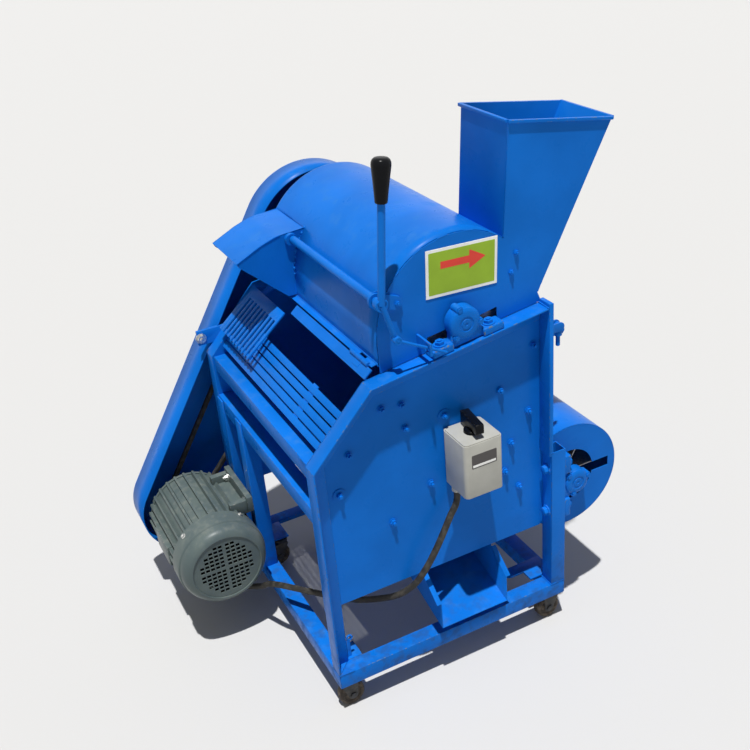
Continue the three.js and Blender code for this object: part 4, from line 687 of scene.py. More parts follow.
CABLE_DIAMETER = 0.0118
CABLE_ROUTE = [
    (258, 8, 385.7),
    (258, 8, 372),
    (254.5, 8, 357),
    (243, 7.5, 339),
    (225, 4.5, 310),
    (206, 2.5, 280),
    (186, 5, 247),
    (166, 14, 215),
    (141, 34, 188),
    (113, 60, 173),
    (82, 92, 162),
    (40, 150, 152),
    (9, 200, 143),
    (-14, 240, 134),
    (-24, 268, 120),
    (-30, 290, 102),
    (-45, 322, 84),
    (-66, 345, 78),
    (-73.3, 356, 78),
    (-73.3, 367.7, 78),
]


def smooth_line(points, steps):
    """The even curve through all the points, like the one that the solid follows."""
    places = [at(*p) for p in points]
    line = []
    for i in range(len(places) - 1):
        p1, p2 = places[i], places[i + 1]
        p0 = places[i - 1] if i else p1 * 2 - p2
        p3 = places[i + 2] if i + 2 < len(places) else p2 * 2 - p1
        t0 = (p1 - p0).length ** 0.5
        t1 = (p2 - p1).length ** 0.5
        t2 = (p3 - p2).length ** 0.5
        m1 = ((p1 - p0) / t0 - (p2 - p0) / (t0 + t1) + (p2 - p1) / t1) * t1
        m2 = ((p2 - p1) / t1 - (p3 - p1) / (t1 + t2) + (p3 - p2) / t2) * t1
        for k in range(steps):
            t = k / steps
            a, b = 2 * t**3 - 3 * t**2 + 1, t**3 - 2 * t**2 + t
            c, d = 3 * t**2 - 2 * t**3, t**3 - t**2
            line.append(p1 * a + m1 * b + p2 * c + m2 * d)
    return line + [places[-1]]


def motor_cable():
    line = smooth_line(CABLE_ROUTE, 6)
    data = bpy.data.curves.new("motor_cable_run", "CURVE")
    data.dimensions = "3D"
    spline = data.splines.new("POLY")
    spline.points.add(len(line) - 1)
    for point, place in zip(spline.points, line):
        point.co = (*place, 1)
    data.bevel_depth = CABLE_DIAMETER / 2
    data.bevel_resolution = 6
    data.use_fill_caps = True
    piece = settle(link("motor_cable_run", data), CABLE, "frame", "motor_cable")
    length = sum((b - a).length for a, b in zip(line, line[1:]))
    start = at(*CABLE_ROUTE[0])
    print("cable length %.3f m" % length)


motor_cable()


# Frame


def frame_steel():
    for node in ("rail_near", "rail_far", "rail_left", "rail_right"):
        refined(node, BLUE, "frame", 1.6, 3)
    for node in ("near_right_post", "far_right_post", "near_side_frame", "far_side_frame"):
        refined(node, BLUE, "frame", 0.8)
    angles = ("middle_outlet_angle", "lower_outlet_angle", "motor_rail_near", "motor_rail_far")
    for node in (*angles, "slatted_deck", "discharge_comb"):
        refined(node, BLUE, "frame", 0.5)
    for node in ("end_panel", "grain_chute", "grain_deflector", "wind_board"):
        refined(node, BLUE, "frame", 0.3, 1)
    seams = [
        [(1, 0.5, RAIL_TOP), (29, 0.5, RAIL_TOP)],
        [(3.5, 2, RAIL_TOP), (3.5, 29, RAIL_TOP)],
        [(29.5, 2, 91.5), (2, 29.5, 91.5)],
        [(450, 0.5, RAIL_TOP), (479, 0.5, RAIL_TOP)],
        [(449.5, 1, RAIL_TOP), (449.5, 29, RAIL_TOP)],
        [(450, 0.5, 393.5), (453, 0.5, 393.5)],
        [(4, 32, 519.5), (4, 60, 519.5)],
        [(443, 1, 679.5), (444.5, 29, 679.8)],
        [(1, 509.5, RAIL_TOP), (29, 509.5, RAIL_TOP)],
        [(450, 509.5, RAIL_TOP), (479, 509.5, RAIL_TOP)],
    ]
    weld("frame_welds", seams, "frame", 1.6)


PANEL_BOLTS = [
    (180, 528), (75, 514), (143, 352), (221, 402), (384, 425), (370, 370),
    (399, 327), (140, 578), (176, 574), (421, 478), (431, 604), (364, 538),
]
BIG_PANEL_BOLTS = [(51, 445), (253, 527)]


def panels():
    """The two side sheets, a little wider above the right post's lower piece, and their bolts."""
    foot, step, post, edge = 220, 415, 445.2, 447.6
    right = [(post, foot), (post, step), (edge, step), (edge, top_line(edge))]
    outline = [(0, foot), *right, (TOP_X, TOP_Z), (0, 520)]
    sides = (("near", NEAR_SHEET, NEAR_SHEET[0], NEARWARD), ("far", FAR_SHEET, FAR_SHEET[1], FARWARD))
    for side, sheet, face, out in sides:
        shape = Shape().slab("y", outline, *sheet, width=0.3)
        shape.piece(side + "_panel_sheet", BLUE, "frame", side + "_panel")
        small = [(x, face, z) for x, z in PANEL_BOLTS]
        big = [(x, face, z) for x, z in BIG_PANEL_BOLTS]
        bolts(side + "_panel_bolts", small, out, BLUE, "frame", PANEL_BOLT)
        bolts(side + "_panel_big_bolts", big, out, BLUE, "frame", BIG_PANEL_BOLT)


def hinge_strip():
    """Strip under the hood's hinge, with the near fixed knuckle and its leaf."""
    slope, wall, strip_far = 0.716, 3, 326
    head_length, leg_length, leaf_length = 19, 30, 15
    knuckle, pin = 10, 30.6
    along = Vector((math.cos(slope), math.sin(slope)))
    foot = (116, 639)
    head = (foot[0] + along.x * head_length, foot[1] + along.y * head_length)
    leg = (foot[0] + along.y * leg_length, foot[1] - along.x * leg_length)
    shape = Shape().slab("y", band([leg, foot, head], wall), INSIDE_NEAR, strip_far, width=0.5)
    start = (HINGE_X - along.x * leaf_length, HINGE_Z - along.y * leaf_length)
    y = HINGES[0]
    shape.slab("y", band([start, (HINGE_X, HINGE_Z)], wall), y - knuckle, y + knuckle, width=0.4)
    shape.pin(HINGE_X, HINGE_Z, y - knuckle, y + knuckle, 4.5, round_end=0.6)
    shape.pin(HINGE_X, HINGE_Z, y - pin, y + pin, 2.0, 12)
    shape.piece("hinge_strip", BLUE, "frame", "top_outlet_angle")


BEARING_BOLT_X, BEARING_FOOT = 46, 14
BEARING_FEET, BEARING_DEPTH = (28, 67), 26
DRUM_BLOCK = (28, 36.5, DRUM_BORE)
FAN_BLOCK = (25.5, 29.7, FAN_BORE)


def bearing(name, node, place, turn, y, near, radius, height, bore):
    """Cast pillow block: capped housing with three screw bosses, two feet with bolts."""
    shape = Shape()
    frame_at = Matrix.Translation((place[0], y, place[1])) @ Matrix.Rotation(turn, 4, "Y")
    shape.place = frame_at if near else frame_at @ Matrix.Scale(-1, 4, (0, 1, 0))
    r = radius
    face = [(bore, -12.8)]
    bottom = [(bore, 11.5), (bore, -12.8)]
    if near:
        face = [(0, -12.1), (2.6, -12.1), (3.0, -13), (8, -13), (8.6, -12), (12.6, -12), (13, -13)]
        bottom = [(bore, 11.5), (bore, -11.4), (0, -11.4)]
    profile = [
        *face, (13.6, -13), (r - 8, -12.8), (r - 3.4, -11.6), (r - 1.2, -9.8), (r - 0.6, -7.6), (r, -7.2),
        (r, 10), (r - 2, 11.5), *bottom,
    ]
    shape.turned(profile, (0, 0, height), sides=72)
    for x, z in arc(0, height, r - 0.8, 104, 344, 2):
        shape.pin(x, z, -10.6, 9, 6.6, 20, 1.0)
        shape.pin(x, z, -12.9, -10.4, 4.6, 6)
    inner = arc(0, height, bore + 6, 200, 340, 12)
    web = [
        (-BEARING_BOLT_X, 2), (BEARING_BOLT_X, 2), (BEARING_BOLT_X, 13), (r + 1, 15), (r - 2, height - 4),
        *inner[::-1], (-r + 2, height - 4), (-r - 1, 15), (-BEARING_BOLT_X, 13),
    ]
    shape.slab("y", web, -8, 8, width=2.0, segments=2)
    for side in (-1, 1):
        foot = sorted(side * x for x in BEARING_FEET)
        shape.block(*foot, -BEARING_DEPTH / 2, BEARING_DEPTH / 2, 0, BEARING_FOOT, 2.6, segments=3)
    shape.piece(name, CAST_BLUE, "frame", node)
    up = Matrix.Rotation(turn, 3, "Y") @ Vector((0, 0, 1))
    seats = [tuple(frame_at @ Vector((side * BEARING_BOLT_X, 0, BEARING_FOOT - 0.1))) for side in (-1, 1)]
    bolts(name + "_bolts", seats, tuple(up), BLUE, "frame", BEARING_BOLT)


def bearings():
    x = DRUM_X + math.sin(TILT) * DRUM_BLOCK[1]
    z = DRUM_Z - math.cos(TILT) * DRUM_BLOCK[1]
    upright = math.pi / 2
    for side, near, y in (("near", True, 15), ("far", False, 495)):
        drum_names = ("drum_block_" + side, "drum_bearing_" + side)
        fan_names = ("fan_block_" + side, "fan_bearing_" + side)
        bearing(*drum_names, (x, z), -TILT, y, near, *DRUM_BLOCK)
        bearing(*fan_names, (FAN_X - FAN_BLOCK[1], FAN_Z), upright, y, near, *FAN_BLOCK)


frame_steel()
panels()
hinge_strip()
bearings()


# Hood, hopper and straw outlet


HOOD_LEFT, HOOD_RIGHT = DRUM_X - HOOD_R, DRUM_X + HOOD_R
HOPPER_ANGLE = math.degrees(math.atan2(806 - DRUM_Z, 377 - DRUM_X))
STRAW_NEAR, STRAW_FAR, STRAW_LOW, STRAW_HIGH, STRAW_RIGHT = 351.8, 474.2, 668, 778, 190


def on_top(x):
    """A corner just above the side panels' top edge."""
    return (x, top_line(x) + 1)


def hood_shell():
    """The rolled sheet with its two openings, the hinges' moving leaves and the rod along its foot."""
    path = [
        (HOOD_LEFT, HOOD_FOOT),
        (HOOD_LEFT, STRAW_LOW),
        *arc(DRUM_X, DRUM_Z, HOOD_R, 180, 0, 96),
        on_top(HOOD_RIGHT),
        on_top(HOPPER_FOOT_X),
    ]
    stations = [INSIDE_NEAR, 60, 105, HOPPER_FAR, 220, 300, STRAW_NEAR, 410, STRAW_FAR, INSIDE_FAR]
    bm = bmesh.new()
    grid = [[bm.verts.new((x, y, z)) for y in stations] for x, z in path]
    for i in range(len(path) - 1):
        x = (path[i][0] + path[i + 1][0]) / 2
        z = (path[i][1] + path[i + 1][1]) / 2
        angle = math.degrees(math.atan2(z - DRUM_Z, x - DRUM_X))
        for j in range(len(stations) - 1):
            y = (stations[j] + stations[j + 1]) / 2
            under_hopper = y < HOPPER_FAR and x > DRUM_X and angle < HOPPER_ANGLE
            beside_spout = STRAW_NEAR < y < STRAW_FAR and x < STRAW_RIGHT
            straw_way = beside_spout and STRAW_LOW < z < STRAW_HIGH
            if not under_hopper and not straw_way:
                a, b = grid[i], grid[i + 1]
                bm.faces.new((a[j], a[j + 1], b[j + 1], b[j]))
    bmesh.ops.delete(bm, geom=[v for v in bm.verts if not v.link_faces], context="VERTS")
    shape = Shape().take(bm)
    for y in HINGES:
        for side in (-1, 1):
            centre = y + side * 20.3
            shape.pin(HINGE_X, HINGE_Z, centre - 10, centre + 10, 4.4, 24, 0.6)
    near, far = HINGES
    reach, room = 40, 10.3
    leaf = band([(HINGE_X, HINGE_Z + 0.6), (145, 657.6)], 1.2)
    for low, high in ((near - reach, near - room), (near + room, far - room), (far + room, far + reach)):
        shape.slab("y", leaf, low, high, width=0.2)
    shape.pin(HOOD_LEFT, HOOD_FOOT, INSIDE_NEAR, INSIDE_FAR, 3.2, 16, 0.5)
    shell = shape.piece("hood_sheet", BLUE, "hood", "hood_shell", smooth=40)
    solid = shell.modifiers.new("thickness", "SOLIDIFY")
    solid.thickness = SHEET * MM
    solid.offset = -1.0


def bearing_notch():
    """The lower edge of an end plate, from right to left, round the bearing and shaft."""
    room, rise, right, left = 24, 26, 362, 231
    return [
        on_top(right),
        (right, top_line(right) + rise),
        (DRUM_X + room + 2, top_line(DRUM_X) + rise + 1),
        (DRUM_X + room, DRUM_Z),
        *arc(DRUM_X, DRUM_Z, room, 0, 180, 16)[1:],
        (DRUM_X - room, top_line(DRUM_X - room) + rise),
        (left, top_line(left) + rise),
        on_top(left),
    ]


def near_end():
    """The near end plate with the hopper's near wall, the lever's lug and the link's guide."""
    outline = [
        on_top(HOOD_LEFT),
        *arc(DRUM_X, DRUM_Z, HOOD_R, 180, HOPPER_ANGLE, 72),
        *HOPPER_CORNERS,
        on_top(HOPPER_FOOT_X),
        *bearing_notch(),
    ]
    face, behind, lug_face = NEAR_SHEET[0], NEAR_SHEET[0] + 0.2, 25.3
    shape = Shape()
    shape.slab("y", outline, *NEAR_SHEET, width=0.2)
    hole = circle(LEVER_X, LEVER_Z, LEVER_HOLE, 32)
    shape.slab("y", loop(LEVER_X, LEVER_Z, 12, 179, 755, 11, 24), lug_face, behind, [hole], width=0.8)
    shape.slab("y", loop(150, 766, 16, 178, 752, 13, 24), 29.0, behind, [hole], width=0.3)
    lip = band(HOPPER_CORNERS[:2], 5)
    shape.slab("y", lip, 26.3, behind, width=0.8)
    half, thickness, root = 11, 4, 30.6
    low, high, tip = GUIDE_Z - half, GUIDE_Z + half, LINK_Y - half
    guide = [(tip, low), (root, low), (root, high), (tip, high)]
    hole = circle(LINK_Y, GUIDE_Z, 7.1, 24)
    shape.slab("x", guide, GUIDE_X - thickness / 2, GUIDE_X + thickness / 2, [hole], width=0.5)
    shape.piece("hood_near_sheet", BLUE, "hood", "hood_near_end")
    seam = [(x, 31, z + 0.3) for x, z in arc(DRUM_X, DRUM_Z, HOOD_R, 176, HOPPER_ANGLE, 40)]
    weld("hood_near_seam", [seam[i : i + 3] for i in range(0, len(seam) - 3, 6)], "hood", 1.2)
    places = [(401, face, 779), (391, face, 748), (181, lug_face, 754)]
    bolts("hood_end_bolts", places, NEARWARD, BLUE, "hood", HOOD_BOLT)
    edges = [[(392, 31, 992), (378.5, 31, 808)], [(583, 31, 960), (443, 31, 700)]]
    weld("hopper_seam", edges, "hood", 1.0)


def far_end():
    rim = arc(DRUM_X, DRUM_Z, HOOD_R, 180, 0, 96)
    outline = [on_top(HOOD_LEFT), *rim, on_top(HOOD_RIGHT), *bearing_notch()]
    Shape().slab("y", outline, *FAR_SHEET, width=0.2).piece("hood_far_sheet", BLUE, "hood", "hood_far_end")


def straw_outlet():
    """The spout: two cheeks under a bent crest, a lug for the lever's shaft, and its weld beads."""
    rise, gap = 85, 0.4
    root = (DRUM_X - math.sqrt(HOOD_R**2 - rise**2) + 0.3, DRUM_Z + rise)
    crest = rounded([(38, 746), (83, 767), (115, STRAW_HIGH), root], 70, 8)
    weld_side = arc(DRUM_X, DRUM_Z, HOOD_R + gap, 143.5, 178, 18)
    foot = [(HOOD_LEFT - gap, 661), (126, 661), (42, 738)]
    side = [p for p in crest if p[0] < weld_side[0][0]] + weld_side + foot
    shape = Shape()
    hole = circle(LEVER_X, LEVER_Z, LEVER_HOLE, 24)
    shape.slab("y", side, SPOUT_NEAR, SPOUT_NEAR + SHEET, width=0.2)
    shape.slab("y", side, SPOUT_FAR - SHEET, SPOUT_FAR, width=0.2)
    shape.slab("y", band(crest, SHEET), SPOUT_NEAR, SPOUT_FAR, width=0.3)
    shape.slab("y", circle(142, LEVER_Z, 11, 32), SPOUT_NEAR - 8, SPOUT_NEAR + 0.2, [hole], width=0.8)
    shape.piece("straw_spout", BLUE, "hood", "straw_outlet", smooth=30)
    seam = [(x, SPOUT_NEAR, z) for x, z in weld_side]
    edge = [(x + 1, SPOUT_NEAR, z - 0.5) for x, z in crest[:-2]]
    weld("spout_seam", [seam, edge], "hood", 1.4)
    weld("spout_tacks", [[(x - 0.5, SPOUT_NEAR - 1.2, z) for x, z in weld_side]], "hood", 3.2, 3.1)
    weld("spout_far_seam", [[(x, SPOUT_FAR, z) for x, z in weld_side]], "hood", 1.1)


def sign():
    """A white-edged green plate with a red arrow."""
    turn = around(233, 743, 0.045)
    border = [(0, 0), (130, 0), (130, 80), (0, 80)]
    plate = Shape().slab("y", border, 29.0, 30.0, width=0.3, matrix=turn)
    plate.piece("sign_border", WHITE, "hood", "sign_plate")
    field = rounded([(65, 5), (125, 5), (125, 75), (5, 75), (5, 5), (65, 5)], 1.5, 3)
    Shape().slab("y", field[:-1], 28.85, 29.1, width=0, matrix=turn).piece("sign_field", GREEN, "hood")
    arrow = [(26, 46), (78, 46), (78, 36), (108, 52), (78, 68), (78, 58), (26, 58)]
    Shape().slab("y", arrow, 28.75, 28.95, width=0, matrix=turn).piece("sign_arrow", RED, "hood")


hood_shell()
near_end()
far_end()
straw_outlet()
refined("hopper", BLUE, "hood", 0.5)
sign()


# Lever, gate and link


def lever_bar():
    """The cross shaft with its hub, handle rod, arm and the arm's pin."""
    shaft_radius, hub_start, handle_y, arm_y = 7, 4, 6, 4.5
    shape = Shape()
    shape.pin(LEVER_X, LEVER_Z, hub_start, 473, shaft_radius, 32, 0.8)
    shape.turned(collar(shaft_radius, 11, hub_start, 16, 1), (LEVER_X, 0, LEVER_Z), sides=40)
    shape.rod((LEVER_X, handle_y, LEVER_Z), (LEVER_TOP_X, handle_y, LEVER_TOP_Z), 6, 28, 0.6)
    shape.rod((LEVER_X, arm_y, LEVER_Z), (PIN_X, arm_y, PIN_Z), 4.5, 24)
    shape.pin(PIN_X, PIN_Z, 0, 9, 6.5, 28, 0.8)
    shape.pin(PIN_X, PIN_Z, -5.5, 5, 3, 20, 0.4)
    shape.piece("lever_bar", BLUE, "lever", "lever_shaft")
    turns = [a / 8 for a in range(6, 20)]
    hub = [(LEVER_X + 9 * math.cos(a), hub_start, LEVER_Z + 9 * math.sin(a)) for a in turns]
    weld("lever_weld", [hub], "lever", 1.6)


def lever_knob():
    lean = math.atan2(LEVER_TOP_X - LEVER_X, LEVER_TOP_Z - LEVER_Z)
    grasp = 22
    start = (LEVER_TOP_X - math.sin(lean) * grasp, 6, LEVER_TOP_Z - math.cos(lean) * grasp)
    place = Matrix.Translation(start) @ Matrix.Rotation(lean, 4, "Y")
    profile = [
        (0, 0.4), (6.2, 0.4), (8.6, 0), (9.4, 0.8), (9.7, 3), (10.6, 14), (12.4, 32), (14.2, 48), (14.9, 55),
        (14.6, 59), (13.2, 62.6), (10.6, 64.9), (6.5, 65.9), (0, 66),
    ]
    knob = Shape().turned(profile, axis="z", sides=64, matrix=place)
    knob.piece("lever_knob", BLACK, "lever", "lever_grip", smooth=50)


def link_rod():
    eye_radius, length, radius = 6.5, 96, 2.5
    shape = Shape()
    along = Vector((GUIDE_X - PIN_X, 0, GUIDE_Z - PIN_Z)).normalized()
    start = Vector((PIN_X, LINK_Y, PIN_Z))
    shape.turned(collar(3.4, eye_radius, -radius, radius, 0.6), start, sides=32)
    shape.rod(start + along * 5, start + along * length, radius, 20, 0.5)
    shape.piece("link_bar", BLUE, "link", "lever_link")


lever_bar()
refined("straw_gate", BLUE, "lever", 0.4)
lever_knob()
link_rod()


# Drum, fan, belts and guard


def pulley(name, node, body, centre, belt_y, radii, bore, shaft=None):
    """A pulley with a groove for each radius, the first in line with the belt.

    Where shaft is given, the pulley's shaft is made too, and starts there.
    """
    belt_stands, depth, pitch, lip, slant = 1, 8.3, 17, 3, 2
    hub = bore + 14
    start = belt_y - SHEAVE_REACH
    profile = [(bore, start)]
    y = start
    for radius in radii:
        rim = radius - belt_stands
        floor, near, far = rim - depth, y + lip, y + pitch + 1
        profile += [(rim, y), (rim, near), (floor, near + slant), (floor, far - slant), (rim, far)]
        y += pitch
    end, dish = y + 4, y + 2
    profile += [(rim, end), (rim - 8, end), (rim - 12, dish)]
    profile += [(hub, dish), (hub - 2, end), (bore, end)]
    shape = Shape().turned([*profile, profile[0]], (centre[0], 0, centre[1]), sides=96)
    if shaft:
        shape.pin(centre[0], centre[1], shaft, SHAFT_END, bore - 0.3, 48, 0.8)
    shape.piece(name, STEEL, body, node, smooth=25)


def belt(name, node, first, second, y):
    """A belt round two pulleys, each given as x, z and its outer radius."""
    depth = 8
    outer = loop(*first, *second, 64)
    inner = loop(*first[:2], first[2] - depth, *second[:2], second[2] - depth, 64)
    Shape().slab("y", outer, y - 5, y + 5, [inner], width=0.8).piece(name, BELT, "frame", node)


def drum():
    """Three discs that carry six beater bars, with staggered pegs on the bars."""
    shape = Shape()
    bore, rim, bars, pegs = DRUM_BORE, 112, 6, 5
    pitch = (DRUM_END - DRUM_START) / pegs
    for y in (DRUM_START, 253, DRUM_END - 4):
        edge = [(rim - 1, y), (rim, y + 0.8), (rim, y + 3.2), (rim - 1, y + 4)]
        shape.turned([(bore, y), *edge, (bore, y + 4), (bore, y)], (DRUM_X, 0, DRUM_Z))
    for i in range(bars):
        turn = around(DRUM_X, DRUM_Z, i * 2 * math.pi / bars)
        shape.block(-7, 7, DRUM_START, DRUM_END, rim - 4, rim + 4, 0.8, matrix=turn)
        for j in range(pegs):
            y = DRUM_START + pitch * (j + 0.5) + (20.9 if i % 2 else -20.9)
            shape.rod((0, y, rim), (0, y, rim + 16), 4.5, 16, 0.8, matrix=turn)
    shape.piece("beater_drum", STEEL, "drum", "threshing_drum")
    centre = (DRUM_X, DRUM_Z)
    pulley("drum_sheave", "drum_pulley", "drum", centre, MOTOR_BELT_Y, DRUM_PULLEYS, DRUM_BORE, SHAFT_START)


def concave():
    """Three curved ribs that carry the round bars under the drum."""
    shape = Shape()
    for y in (INSIDE_NEAR, 253.5, INSIDE_FAR - 3):
        outer = arc(DRUM_X, DRUM_Z, 142, 197, 343, 60)
        inner = arc(DRUM_X, DRUM_Z, 133, 343, 197, 60)
        shape.slab("y", outer + inner, y, y + 3, width=0.3)
    for x, z in arc(DRUM_X, DRUM_Z, 137.5, 199, 341, 12):
        shape.pin(x, z, 33, 477, 3.2, 16)
    shape.piece("concave_bars", STEEL, "frame", "concave_grate")


def fan():
    """The fan's shaft, two hubs and six flat blades, with its pulley."""
    hub, blades = 40, 6
    shape = Shape()
    shape.pin(FAN_X, FAN_Z, SHAFT_START, SHAFT_END, FAN_BORE - 0.3, 40, 0.8)
    for y in (133.8, 373.2):
        shape.turned(collar(9, hub, y, y + 3), (FAN_X, 0, FAN_Z), sides=48)
    for i in range(blades):
        turn = around(FAN_X, FAN_Z, (i + 0.5) * 2 * math.pi / blades)
        shape.block(-1, 1, 43.8, 466.2, hub - 10, 88, 0.4, matrix=turn)
    shape.piece("fan_blades", STEEL, "fan", "fan_rotor")
    pulley("fan_sheave", "fan_pulley", "fan", (FAN_X, FAN_Z), FAN_BELT_Y, (FAN_PULLEY,), FAN_BORE)


def fan_casing():
    """The round housing, open to the left, with a slotted inlet at the near end."""
    mouth_x, slot_half, slot_end = 445.3, 10, 600
    edge = math.degrees(math.acos((mouth_x - FAN_X) / FAN_CASE))
    outer = arc(FAN_X, FAN_Z, FAN_CASE, -edge, edge, 96)
    inner = arc(FAN_X, FAN_Z, FAN_CASE - SHEET, edge, -edge, 96)
    slot = math.degrees(math.asin(slot_half / FAN_INLET))
    inlet = arc(FAN_X, FAN_Z, FAN_INLET, slot, 360 - slot, 60)
    inlet += [(slot_end, FAN_Z - slot_half), (slot_end, FAN_Z + slot_half)]
    shell = Shape()
    shell.slab("y", outer + inner, NEAR_SHEET[0], FAR_SHEET[1], width=0.3)
    shell.slab("y", outer, *NEAR_SHEET, [inlet], width=0.2)
    shell.slab("y", outer, *FAR_SHEET, [circle(FAN_X, FAN_Z, FAN_INLET)], width=0.2)
    shell.piece("fan_casing", BLUE, "frame", "fan_housing")
    rim = [(x, 31, z) for x, z in arc(FAN_X, FAN_Z, FAN_CASE - SHEET, -edge, edge, 96)]
    weld("fan_seam", [rim[i : i + 4] for i in range(2, len(rim) - 4, 9)], "frame", 1.2)


def guard():
    """The belt guard: a band that leaves a window for the fan's belt, a back plate, a lug and its bolt."""
    big, small, wall = 142.9, 97.9, 2
    outline = loop(GUARD_X, GUARD_Z, big, MOTOR_X, MOTOR_Z, small, 72)
    window = loop(DRUM_X, DRUM_Z, 76, FAN_X, FAN_Z, 59, 32)
    bm = bmesh.new()
    rows = [[bm.verts.new((x, y, z)) for x, z in outline] for y in (GUARD_NEAR, GUARD_BACK)]
    for i in range(len(outline)):
        j = (i + 1) % len(outline)
        middle = ((outline[i][0] + outline[j][0]) / 2, (outline[i][1] + outline[j][1]) / 2)
        if not inside(middle, window):
            bm.faces.new((rows[0][i], rows[0][j], rows[1][j], rows[1][i]))
    bmesh.ops.recalc_face_normals(bm, faces=bm.faces[:])
    bmesh.ops.delete(bm, geom=[v for v in bm.verts if not v.link_faces], context="VERTS")
    cover = Shape().take(bm).piece("guard_band", BLUE, "frame", smooth=40)
    thick = cover.modifiers.new("thickness", "SOLIDIFY")
    thick.thickness = wall * MM
    thick.offset = -1.0 if outward(cover) else 1.0

    back = Shape().slab("y", outline, GUARD_BACK, GUARD_FAR, width=0.7, segments=2)
    lug = [(-14, 536), (46, 536), (46, 566), (-14, 566)]
    back.slab("y", lug, GUARD_NEAR, GUARD_NEAR + 3, width=0.6)
    back.piece("guard_back", BLUE, "frame", "belt_guard")
    bolts("guard_bolt", [(-7, GUARD_NEAR - 3, 551)], NEARWARD, ZINC, "frame", GUARD_BOLT)
    inset = 1.1
    seam = loop(GUARD_X, GUARD_Z, big - inset, MOTOR_X, MOTOR_Z, small - inset, 72)
    rim = [(x, GUARD_BACK + 0.6, z) for x, z in seam]
    weld("guard_seam", [rim[i : i + 3] for i in range(0, len(rim) - 3, 8)], "frame", 1.0)


def inside(point, ring):
    """Whether a point of the plane lies inside a ring."""
    u, v = point
    hit = False
    for (u0, v0), (u1, v1) in zip(ring, ring[1:] + ring[:1]):
        if (v0 > v) != (v1 > v) and u < (u1 - u0) * (v - v0) / (v1 - v0) + u0:
            hit = not hit
    return hit


def outward(piece):
    """Whether the faces of a band round its own middle point away from it."""
    mesh = piece.data
    middle = sum((v.co for v in mesh.vertices), Vector()) / len(mesh.vertices)
    away = sum((f.center - middle).dot(f.normal) for f in mesh.polygons)
    return away > 0


drum()
concave()
fan()
fan_casing()
motor_end, fan_end = (MOTOR_X, MOTOR_Z, MOTOR_PULLEY), (FAN_X, FAN_Z, FAN_PULLEY)
belt("drum_drive_belt", "motor_belt", (DRUM_X, DRUM_Z, DRUM_PULLEYS[0]), motor_end, MOTOR_BELT_Y)
belt("fan_drive_belt", "fan_belt", (DRUM_X, DRUM_Z, DRUM_PULLEYS[1]), fan_end, FAN_BELT_Y)
guard()


# Motor


def fin_recipe():
    """Cooling fins round a stator; the seats are one point on its axis."""
    r = Recipe("fins", Count=28, Middle=0.0812, Height=0.0096, Width=0.0044, Length=0.1675)
    settings = {"mode": "RADIUS"}
    sizes = {"Resolution": r["Count"], "Radius": r["Middle"]}
    ring = r.node("GeometryNodeCurvePrimitiveCircle", settings, **sizes)
    points = r.node("GeometryNodeCurveToPoints", {"mode": "EVALUATED"}, Curve=ring)
    size = r.node("ShaderNodeCombineXYZ", X=r["Height"], Y=r["Width"], Z=r["Length"])
    fin = r.node("GeometryNodeMeshCube", Size=size)
    place = r.node("GeometryNodeInputPosition")
    turn = r.node("FunctionNodeAlignRotationToVector", {"axis": "X"}, Vector=place)
    placed = r.node("GeometryNodeInstanceOnPoints", Points=points, Instance=fin, Rotation=turn)
    upright = r.node("GeometryNodeTransform", Geometry=placed, Rotation=(math.pi / 2, 0, 0))
    seated = r.node("GeometryNodeInstanceOnPoints", Points=r["Seats"], Instance=upright)
    return r.end(seated)


def grille():
    """Rows of small openings in four fields, clipped by a circle."""
    width, height, radius = 7.7, 6.4, 58
    holes = []
    for i in range(6):
        for j in range(7):
            x, z = 3.3 + 10.1 * i, 3.1 + 8.9 * j
            if math.hypot(x + width, z + height) > radius:
                continue
            for a in (-1, 1):
                for b in (-1, 1):
                    corners = [(x, z), (x + width, z), (x + width, z + height), (x, z + height)]
                    holes.append([(a * u, b * v) for u, v in corners])
    return holes


def motor_shell():
    """The housing with its end shields, feet, terminal box, gland and tie bolts, and its fins."""
    stator, near, far = 78, 340, 508
    shape = Shape()
    shape.place = around(MOTOR_X, MOTOR_Z)
    shape.turned([(0, near), (stator, near), (stator, far), (0, far)], sides=96)
    far_shield = [
        (0, 507), (80, 507), (80.5, 508), (80.5, 512.5), (79.5, 514), (60, 518), (57, 520), (46, 534),
        (44, 538), (13, 538), (12.5, 536), (0, 536),
    ]
    shape.turned(far_shield, sides=96)
    rim = near + 6
    near_shield = [(70, near), (85, near), (85.5, near + 1), (85.5, rim - 1), (84.5, rim), (70, rim)]
    shape.turned(near_shield, sides=96)
    web_root = 44
    for side in (-1, 1):
        sole = sorted((side * 53, side * 87))
        shape.block(stator, 89.8, 349, 481, *sole, 1.5, segments=2)
        cross = sorted((side * 50, side * 80))
        for y in (353, 463):
            shape.block(web_root, 79, y, y + 13, *cross, 1.2)
        long_web = sorted((side * 52, side * 63))
        shape.block(web_root, 80, 356, 474, *long_web, 1.2)
    shape.block(-40, 40, 380, 460, -125, -40, 3.0, segments=3)
    shape.block(-41.5, 41.5, 378.5, 461.5, -126, -108, 3.5, segments=3)
    gland_x, gland_z = 20, -106
    shape.pin(gland_x, gland_z, 368, 382, 9, 6)
    gland = [(6.3, 367.9), (8, 368), (8.6, 369), (8.6, 374), (6.3, 374), (6.3, 367.9)]
    shape.turned(gland, (gland_x, 0, gland_z), sides=32)
    for x, z in arc(0, 0, 75, 30, 270, 2):
        shape.pin(x, z, far - 3, far + 11, 5.5, 6)
    shape.block(-87.5, -76, 372, 452, -22, 22, 1.5)
    shape.piece("motor_shell", MOTOR, "frame", "motor_body")
    fin_seat = bpy.data.meshes.new("fin_seat")
    fin_seat.from_pydata([at(MOTOR_X, 424, MOTOR_Z)], [], [])
    fin_recipe().grow("motor_fins", fin_seat, MOTOR, "frame")


